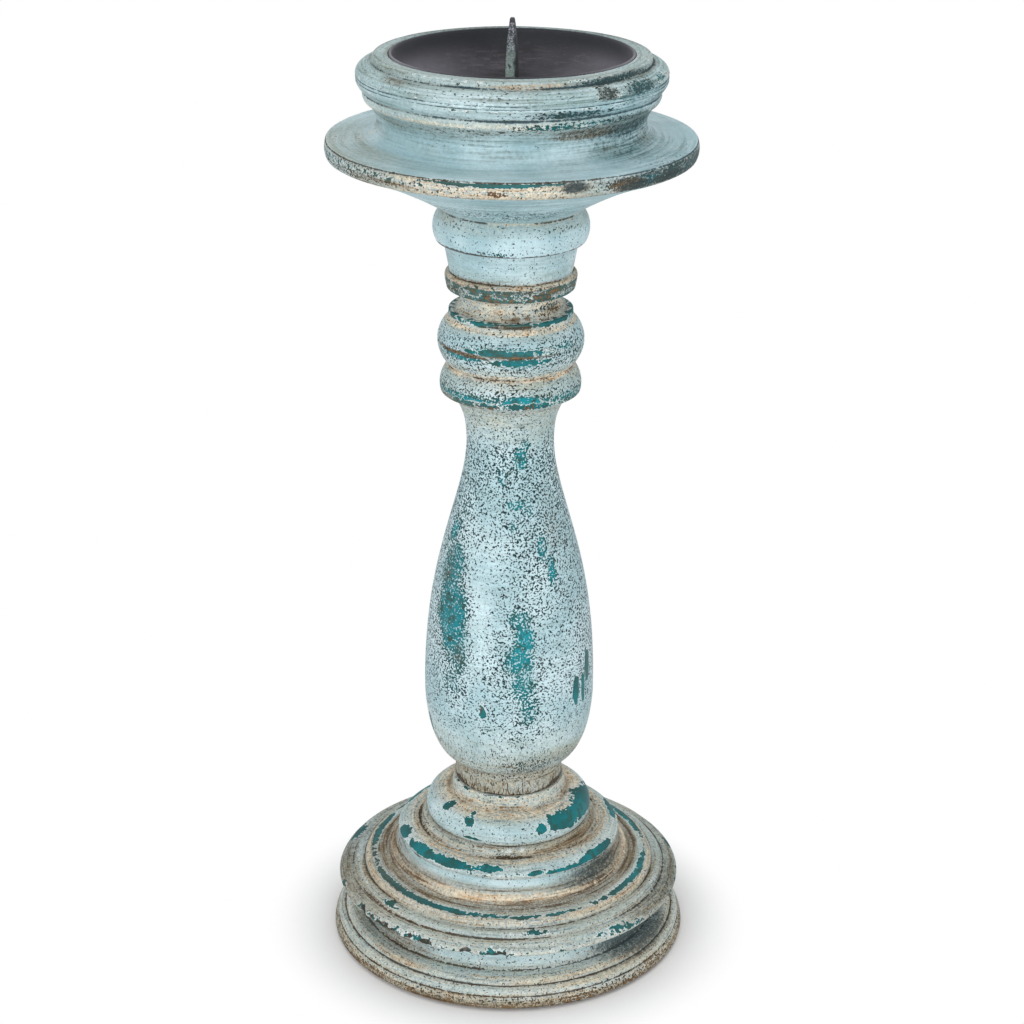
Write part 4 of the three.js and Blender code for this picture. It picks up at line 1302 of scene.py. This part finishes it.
@dataclass
class Head:
    """Capital, and the cup with its drip plate."""

    columns: int = 384
    pitch: float = 0.8

    def build(self, finish: bpy.types.Material) -> list[bpy.types.Object]:
        """Turns and paints both pieces."""
        return [self._capital().build(finish), self._cup().build(finish)]

    def _capital(self) -> TurnedPiece:
        """Capital with its bead and bell.

        Returns:
            The piece, not yet turned.
        """
        ground = {
            Layer.SPECK: [
                (332, 0.4), (336, 0.32), (340, 0.32), (346, 0.36), (348, 0.3), (353, 0.32), (358, 0.2), (369, 0.1),
            ],
            Layer.WASH: [(332, 0), (340, 0.02), (342.5, 0.2), (346.5, 0.24), (347.5, 0.1), (352, 0.05), (369, 0)],
            Layer.DIRT: [
                (332, 0.1), (334, 0), (343, 0), (345, 0.05), (346.3, 0.1), (347.3, 0.02), (367, 0), (369, 0.15),
            ],
            # From 347.4 mm up, the bell under the drip plate is painted darker: painted shade as well as thin paint.
            Layer.THIN: [(332, 0.14), (340, 0.1), (343, 0.16), (346, 0.18), (347.4, 0.6), (369, 0.6)],
            Layer.CREAM: [(339, 0), (343, 0.18), (346, 0.3), (346.8, 0.3), (347.4, 0)],
        }
        patches = {
            Layer.SPECK: [
                (2, 352, 45, 4, 0.6, 0.7), (40, 342.8, 30, 1.8, 0.54), (-48, 343.4, 28, 1.8, 0.5),
                (-12, 333.8, 18, 1.2, 0.85),
            ],
            Layer.LINE: [(-50, 332.8, 40, 0.7, 1.1, 0.4), (20, 332.7, 60, 0.5, 0.75, 0.5)],
        }
        strewn = [Strew(Layer.SPECK, 5, 335, 356, 16, 4, 0.75, 0.6), Strew(Layer.LINE, 2, 332.6, 332.9, 40, 0.6, 0.9)]
        return TurnedPiece("capital", self.columns, self.pitch, 11, ground, patches, strewn,
                           hollow_line=0.4, hollow_dirt=0.1)

    def _cup(self) -> TurnedPiece:
        """Cup with its lip, torus and bands, and the drip plate.

        Returns:
            The piece, not yet turned.
        """
        ground = {
            Layer.SPECK: [
                (369, 0.3), (376, 0.35), (376.3, 0.08), (380, 0.06), (390, 0.12), (396, 0.26), (403, 0.2), (408, 0.3),
                (411.2, 0.2),
            ],
            Layer.WASH: [
                (369, 0.58), (375.5, 0.58), (376.1, 0.08), (378, 0.02), (384, 0.02), (390, 0.12), (392.3, 0.35),
                (396, 0.35), (397, 0.15), (402, 0.15), (405, 0.2), (408, 0.25), (411.2, 0.35),
            ],
            Layer.THIN: [
                (375.9, 0), (376.2, 0.36), (380, 0.38), (386, 0.66), (391, 0.7), (392.5, 0.35), (396, 0.45),
                (397, 0.65), (401, 0.6), (404, 0.8), (408, 0.8), (411.2, 0.76),
            ],
            Layer.CREAM: [
                (369, 0.45), (373, 0.54), (375.6, 0.42), (376, 0.05), (392, 0), (392.8, 0.4), (394.5, 0.3),
                (396.2, 0.1), (397, 0), (407.8, 0), (408.4, 0.1), (410.2, 0.05), (410.6, 0),
            ],
            Layer.DIRT: [
                (369, 0.45), (372, 0.25), (375.6, 0.35), (376.05, 0.55), (376.15, 0.1), (376.5, 0.05), (384, 0.05),
                (391, 0.3), (392.3, 0.2), (395, 0.1), (396.5, 0.3), (401, 0.05), (403, 0.08), (405, 0), (407.4, 0.1),
                (408.2, 0.25), (411.1, 0.12),
            ],
            Layer.SOOT_AND_SHADE: [
                (376.2, 0.05), (384, 0.02), (390, 0.12), (396, 0.12), (397, 0.15), (401, 0.1), (404, 0.04),
                (408, 0.16), (411.2, 0.2),
            ],
            Layer.LINE: [(375.3, 0), (375.6, 0.75), (376.15, 0.75), (376.22, 0)],
        }
        patches = {
            Layer.WORN: [
                (-6, 374.9, 22, 0.7, 1.2, 0.4), (46, 374, 7, 1.5, 0.46, 0.7), (66, 373.5, 9, 1.8, 0.46, 0.7),
                (-48, 373, 26, 2, 0.42, 0.7),
            ],
            # Soot and painted shade darken the right side of the plate, waist and lip.
            Layer.SOOT_AND_SHADE: [
                (18.5, 373.6, 4, 2.2, 0.9, 0.6), (56, 371.5, 10, 2.6, 0.85, 0.7), (40, 371, 8, 2.2, 0.8, 0.7),
                (70, 372, 16, 3.5, 0.75), (50, 374, 24, 2, 0.58, 0.7), (54, 405.5, 9, 2, 0.6, 0.6),
                (36.5, 405.5, 4, 2.4, 0.55, 0.7), (22, 398.7, 16, 1.6, 0.65, 0.7), (50, 394, 22, 2, 0.4),
                (-76, 376.5, 34, 1.2, 0.2, 0.7), (74, 376.5, 30, 1.2, 0.14), (180, 411, 80, 2, 0.5, 0.7),
                (36, 389.5, 20, 2.4, 0.45), (54, 388, 24, 5, 0.55), (60, 399, 30, 3, 0.32),
                (48, 409.4, 24, 1.5, 0.7, 0.6),
            ],
            Layer.DIRT: [
                (19, 373, 5, 2.4, 0.6, 0.6), (36, 372, 7, 3, 0.9, 0.6), (54, 371.5, 9, 2.4, 0.6, 0.6),
                (-45, 371.5, 26, 2.5, 0.55, 0.7), (36.5, 405.5, 4.5, 2.8, 0.55), (-50, 407.3, 10, 1.4, 0.5, 0.9),
                (-12, 405, 22, 1.4, 0.3, 0.9), (58, 399, 30, 3.5, -0.25, 0.7), (32, 389, 18, 3, 0.75),
                (6, 409, 20, 1.4, 0.55, 0.7),
            ],
            Layer.BARE: [(-4, 371.5, 4, 1.5, 0.65, 0.5), (8, 409.6, 14, 0.8, 0.42, 0.6)],
            Layer.CREAM: [
                # The cream patch at -83 degrees and 379.2 mm is a painted highlight on the end of the cove.
                (60, 372.5, 36, 5, -0.7, 0.5), (-66, 373, 26, 5, -0.6, 0.6), (-83, 379.2, 4, 2.2, 0.45),
                (52, 394, 26, 2.6, -0.5, 0.7), (8, 409.2, 18, 1.1, 0.7, 0.5),
            ],
            Layer.WASH: [
                (60, 372.5, 36, 5, -0.4, 0.5), (-66, 373, 26, 5, -0.3, 0.6), (-50, 407.3, 11, 1.6, 0.3),
                (58, 398, 30, 5, -0.3, 0.7), (-75, 376.4, 34, 1.4, 0.4, 0.7),
            ],
            Layer.SPECK: [
                (58, 372.5, 34, 3.2, 1.15, 0.5), (-60, 372.6, 32, 3, 0.8, 0.6), (36.5, 405.5, 5, 3, 0.85, 0.7),
                (54, 405.5, 10, 2.4, 0.95, 0.6), (70, 406, 5, 1.5, 0.9, 0.6), (-12, 392, 40, 2.6, 0.5, 0.9),
                (24, 398.7, 20, 2, 0.85, 0.7), (26, 393.6, 28, 1.9, 0.95, 0.6), (45, 409.3, 20, 1.3, 1.05, 0.6),
            ],
            # Painted highlights at -83 and 92 degrees on the ends of the cove, and painted shade at 62 degrees on the
            # cup's right side.
            Layer.THIN: [
                (-83, 379, 13, 3.6, -0.5, 0.7), (92, 379, 13, 3.6, -0.9, 0.7), (-62, 386, 26, 6, -0.14),
                (-48, 402, 44, 8, -0.12), (62, 386, 34, 10, 1.3), (62, 402, 34, 9, 1.2),
            ],
        }
        strewn = [
            Strew(Layer.WORN, 4, 371, 374, 10, 1, 1.0, 0.5),
            Strew(Layer.SOOT_AND_SHADE, 4, 370, 375, 14, 2.5, 0.7, 0.6),
            Strew(Layer.SPECK, 6, 394, 408, 10, 3, 0.9, 0.6),
            Strew(Layer.DIRT, 6, 385, 408, 10, 2, 0.7, 0.6),
        ]
        return TurnedPiece("candle_cup", self.columns, self.pitch, 13, ground, patches, strewn)


@dataclass
class IronWork:
    """Drip pan and pricket spike, whose sections are more or less square, from ROUND to SQUARE."""

    ROUND = 2
    SEATED = 5
    CUT = 6
    SQUARE = 7

    pan_columns: int = 256
    pan_pitch: float = 1.0
    pan_edge: float = 0.12
    pan_seed: int = 17
    pan_dent: float = 0.1
    dent_grain: float = 18
    spike_sides: int = 28
    spike_rows: int = 44
    blade_height: float = 31.3
    blade_turn: float = 14
    blade_swell: float = 0.6
    foot_width: float = 4.7
    tip_width: float = 1.8
    tip_cut: float = 0.3
    shoulder_radius: float = 6.0
    shoulder_height: float = 1.6
    bevel: float = 0.4
    shank_radius: float = 2.6
    point_length: float = 5.0
    point_radius: float = 0.3
    hammer_seed: int = 19
    hammer: float = 0.16
    hammer_grain: float = 3.5

    def build(self, finish: BlackIron) -> list[bpy.types.Object]:
        """Makes the pan and the spike, each with its own kind of the iron."""
        pan, spike = finish.material("blackened_pan", False), finish.material("blackened_spike", True)
        return [self._pan(pan), self._spike(spike)]

    def _pan(self, iron: bpy.types.Material) -> bpy.types.Object:
        """Pan with a slightly uneven wall.

        Args:
            iron: Material of the pan.

        Returns:
            The pan.
        """
        outline = TurnedOutline("drip_pan", self.pan_pitch, self.pan_edge)
        azimuth = columns_round(self.pan_columns)
        radius, height = outline.radius[:, None], outline.height[:, None]
        dent = self.pan_dent * LatticeNoise(self.pan_seed).at(around(radius, azimuth, height), self.dent_grain)
        pushed = radius + dent * (radius > 2 * self.shoulder_radius)
        pan = turned_object("drip_pan_spun", around(pushed, azimuth, height) * MM, outline)
        pan.data.materials.append(iron)
        settle(pan, "drip_pan")
        return pan

    def _stations(self, foot: float, tip: float) -> list[tuple[float, float, float]]:
        """Sections of the spike from its foot to its tip.

        Args:
            foot: Height of its lower end in millimetres.
            tip: Height of its upper end in millimetres.

        Returns:
            Each section's height, half width and squareness.
        """
        floor = tip - self.blade_height
        top, last = floor + self.shoulder_height, tip - self.tip_cut
        shank, shoulder = self.shank_radius, self.shoulder_radius
        foot_half, tip_half = self.foot_width / 2, self.tip_width / 2
        rounds = [
            (foot, self.point_radius), (foot + self.point_length, shank), (floor - 0.05, shank),
            (floor, shoulder - self.bevel), (floor + self.bevel, shoulder), (top - self.bevel, shoulder),
            (top, shoulder - 0.5),
        ]
        stations = [(height, half, self.ROUND) for height, half in rounds]
        stations.append((top + 0.02, foot_half + 0.25, self.SEATED))
        for share in np.linspace(0, 1, self.spike_rows)[1:]:
            half = foot_half + (tip_half - foot_half) * share + 4 * self.blade_swell * share * (1 - share)
            stations.append((top + share * (last - top), half, self.SQUARE))
        return [*stations, (tip - 0.05, tip_half - 0.25, self.CUT), (tip, tip_half - 0.35, self.CUT)]

    def _spike(self, iron: bpy.types.Material) -> bpy.types.Object:
        """Spike forged square and swelling above its shoulder, with hammer marks and a cut tip.

        Args:
            iron: Material of the spike.

        Returns:
            The spike.
        """
        low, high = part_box("spike")
        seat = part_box("drip_pan")[1].z / MM
        foot, tip = low.z / MM, high.z / MM
        LOG.info("spike stands %.1f mm above the rim", tip - seat)
        height, half, squareness = np.array(self._stations(foot, tip)).T[:, :, None]
        angle = np.linspace(0, 2 * math.pi, self.spike_sides, endpoint=False)[None, :]
        turned = angle - math.radians(self.blade_turn)
        reach = half * (np.abs(np.cos(angle)) ** squareness + np.abs(np.sin(angle)) ** squareness) ** (-1 / squareness)
        rings = np.stack([reach * np.cos(turned), reach * np.sin(turned), height + 0 * angle], -1)
        blade = height > tip - self.blade_height
        dent = self.hammer * LatticeNoise(self.hammer_seed).at(rings, self.hammer_grain) * blade
        scale = 1 + dent / np.maximum(np.hypot(rings[..., 0], rings[..., 1]), 0.6)
        rings[..., :2] *= np.minimum(scale, 1.05)[..., None]
        mesh = loft("spike_forged", [rings * MM])
        mesh.shade_smooth()
        mesh.materials.append(iron)
        spike = placed("spike_forged", mesh)
        settle(spike, "spike")
        return spike


@dataclass
class Fixings:
    """Screws, washer and felt pads, which keep their CAD shapes."""

    steel: Sequence[str] = ("centre_screw", "centre_washer", *BASE_SCREWS)
    felt: Sequence[str] = FELT_PADS

    def dress(self, zinc: bpy.types.Material, felt: bpy.types.Material) -> list[bpy.types.Object]:
        """Gives the CAD nodes their finishes.

        Args:
            zinc: Plating of the steel.
            felt: Felt of the pads.

        Returns:
            The dressed nodes.
        """
        dressed = []
        for names, finish in ((self.steel, zinc), (self.felt, felt)):
            for name in names:
                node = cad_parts[name]
                node.data.materials.clear()
                node.data.materials.append(finish)
                dressed.append(node)
        return dressed


@dataclass(frozen=True)
class Softbox:
    """Square soft lamp facing the middle of the holder, with its place and side in metres and power in watts."""

    name: str
    place: tuple[float, float, float]
    side: float
    power: float
    aim: tuple[float, float, float] = (0, 0, 0.2)

    def hang(self) -> None:
        """Hangs the lamp in the scene."""
        light = bpy.data.lights.new(self.name, "AREA")
        light.size, light.energy = self.side, self.power
        lamp = placed(self.name, light)
        lamp.location = self.place
        lamp.rotation_euler = (Vector(self.aim) - Vector(self.place)).to_track_quat("-Z", "Y").to_euler()


@dataclass
class Studio:
    """Pale floor, white surroundings and soft lamps."""

    floor_size: float = 14.0
    floor_colour: Colour = paint(250, 250, 250)
    floor_shade: Colour = paint(246, 246, 246)
    white: Colour = (1, 1, 1, 1)
    shadow_reach: tuple[float, float] = (0.082, 0.115)
    sky: float = 0.7
    lamps: Sequence[Softbox] = (
        Softbox("key_softbox", (-0.8, -1.6, 1.15), 1.3, 8.0),
        Softbox("fill_softbox", (0.25, -1.9, 0.4), 1.1, 11.0),
        Softbox("top_softbox", (0.1, 0.3, 1.7), 1.2, 4.0),
    )

    def build(self) -> None:
        """Lays the floor and sets the light."""
        self._floor()
        self._surroundings()
        for lamp in self.lamps:
            lamp.hang()

    def _floor(self) -> None:
        """Lays a wide pale floor that keeps the shadow near the holder and is plain white further out."""
        half = self.floor_size / 2
        mesh = bpy.data.meshes.new("floor")
        mesh.from_pydata([(-half, -half, 0), (half, -half, 0), (half, half, 0), (-half, half, 0)], [], [(0, 1, 2, 3)])
        material, bench = new_material("pale_floor")
        tone = bench.mix(bench.noise(600, 2, 0.5).rise(0.3, 0.7), self.floor_colour, self.floor_shade)
        pale = bench.value("ShaderNodeBsdfDiffuse", {}, {"Color": tone})
        white = bench.value("ShaderNodeEmission", {}, {"Color": self.white, "Strength": 1.0})
        away = bench.value("ShaderNodeVectorMath", {"operation": "LENGTH"}, {0: bench.here()}, "Value")
        share = away.rise(*self.shadow_reach) * self._shown(bench)
        surface = bench.value("ShaderNodeMixShader", {}, {0: share, 1: pale, 2: white})
        bench.node("ShaderNodeOutputMaterial", {}, {"Surface": surface})
        mesh.materials.append(material)
        floor = placed("floor", mesh)

    def _surroundings(self) -> None:
        """Sets soft light from all round, white where the camera or a reflection sees it."""
        world = bpy.data.worlds.new("white_studio")
        world.use_nodes = True
        bpy.context.scene.world = world
        bench = Bench(world.node_tree)
        strength = self.sky + (1 - self.sky) * self._shown(bench)
        back = bench.value("ShaderNodeBackground", {}, {"Color": self.white, "Strength": strength})
        bench.node("ShaderNodeOutputWorld", {}, {"Surface": back})

    @staticmethod
    def _shown(bench: Bench) -> Socket:
        """Tells where a surface is seen.

        Args:
            bench: Bench of the tree.

        Returns:
            1 where the camera, a reflection or a clear body sees it, else 0.
        """
        path = bench.node("ShaderNodeLightPath", {}, {})
        rays = (Socket(bench, path.outputs[f"Is {kind} Ray"]) for kind in ("Camera", "Glossy", "Transmission"))
        return sum(rays, 0).clamp()


@dataclass(frozen=True)
class Viewpoint:
    """Camera at the photograph's place, a little above the holder and tilted down."""

    aside: float = 0.0009
    back: float = 1.0043
    height: float = 0.6149
    tilt: float = 22.12
    roll: float = 0.3
    focal_pixels: float = 2443.5
    frame_pixels: float = 1024
    sensor: float = 36.0

    def place(self) -> None:
        """Makes the camera and gives it to the scene."""
        camera = bpy.data.cameras.new("viewpoint")
        camera.sensor_width = self.sensor
        camera.lens = self.focal_pixels / self.frame_pixels * self.sensor
        made = placed("viewpoint", camera)
        made.location = (self.aside, -self.back, self.height)
        level = Euler((math.radians(90 - self.tilt), 0, 0)).to_quaternion()
        made.rotation_mode = "QUATERNION"
        made.rotation_quaternion = level @ Euler((0, 0, math.radians(self.roll))).to_quaternion()
        bpy.context.scene.camera = made


def main() -> None:
    """Builds every piece in order, then the studio and the camera."""
    logging.basicConfig(level=logging.INFO, format="%(message)s")
    chalk = ChalkPaint().material()
    pieces = Base().build(chalk) + Stem().build(chalk) + Head().build(chalk)
    pieces += IronWork().build(BlackIron())
    pieces += Fixings().dress(ZincPlate().material(), BrownFelt().material())
    for piece in pieces:
        LOG.info("%s: %d faces", piece.name, len(piece.data.polygons))
    Studio().build()
    Viewpoint().place()
    bpy.context.scene.view_settings.view_transform = "Standard"


if __name__ == "__main__":
    main()
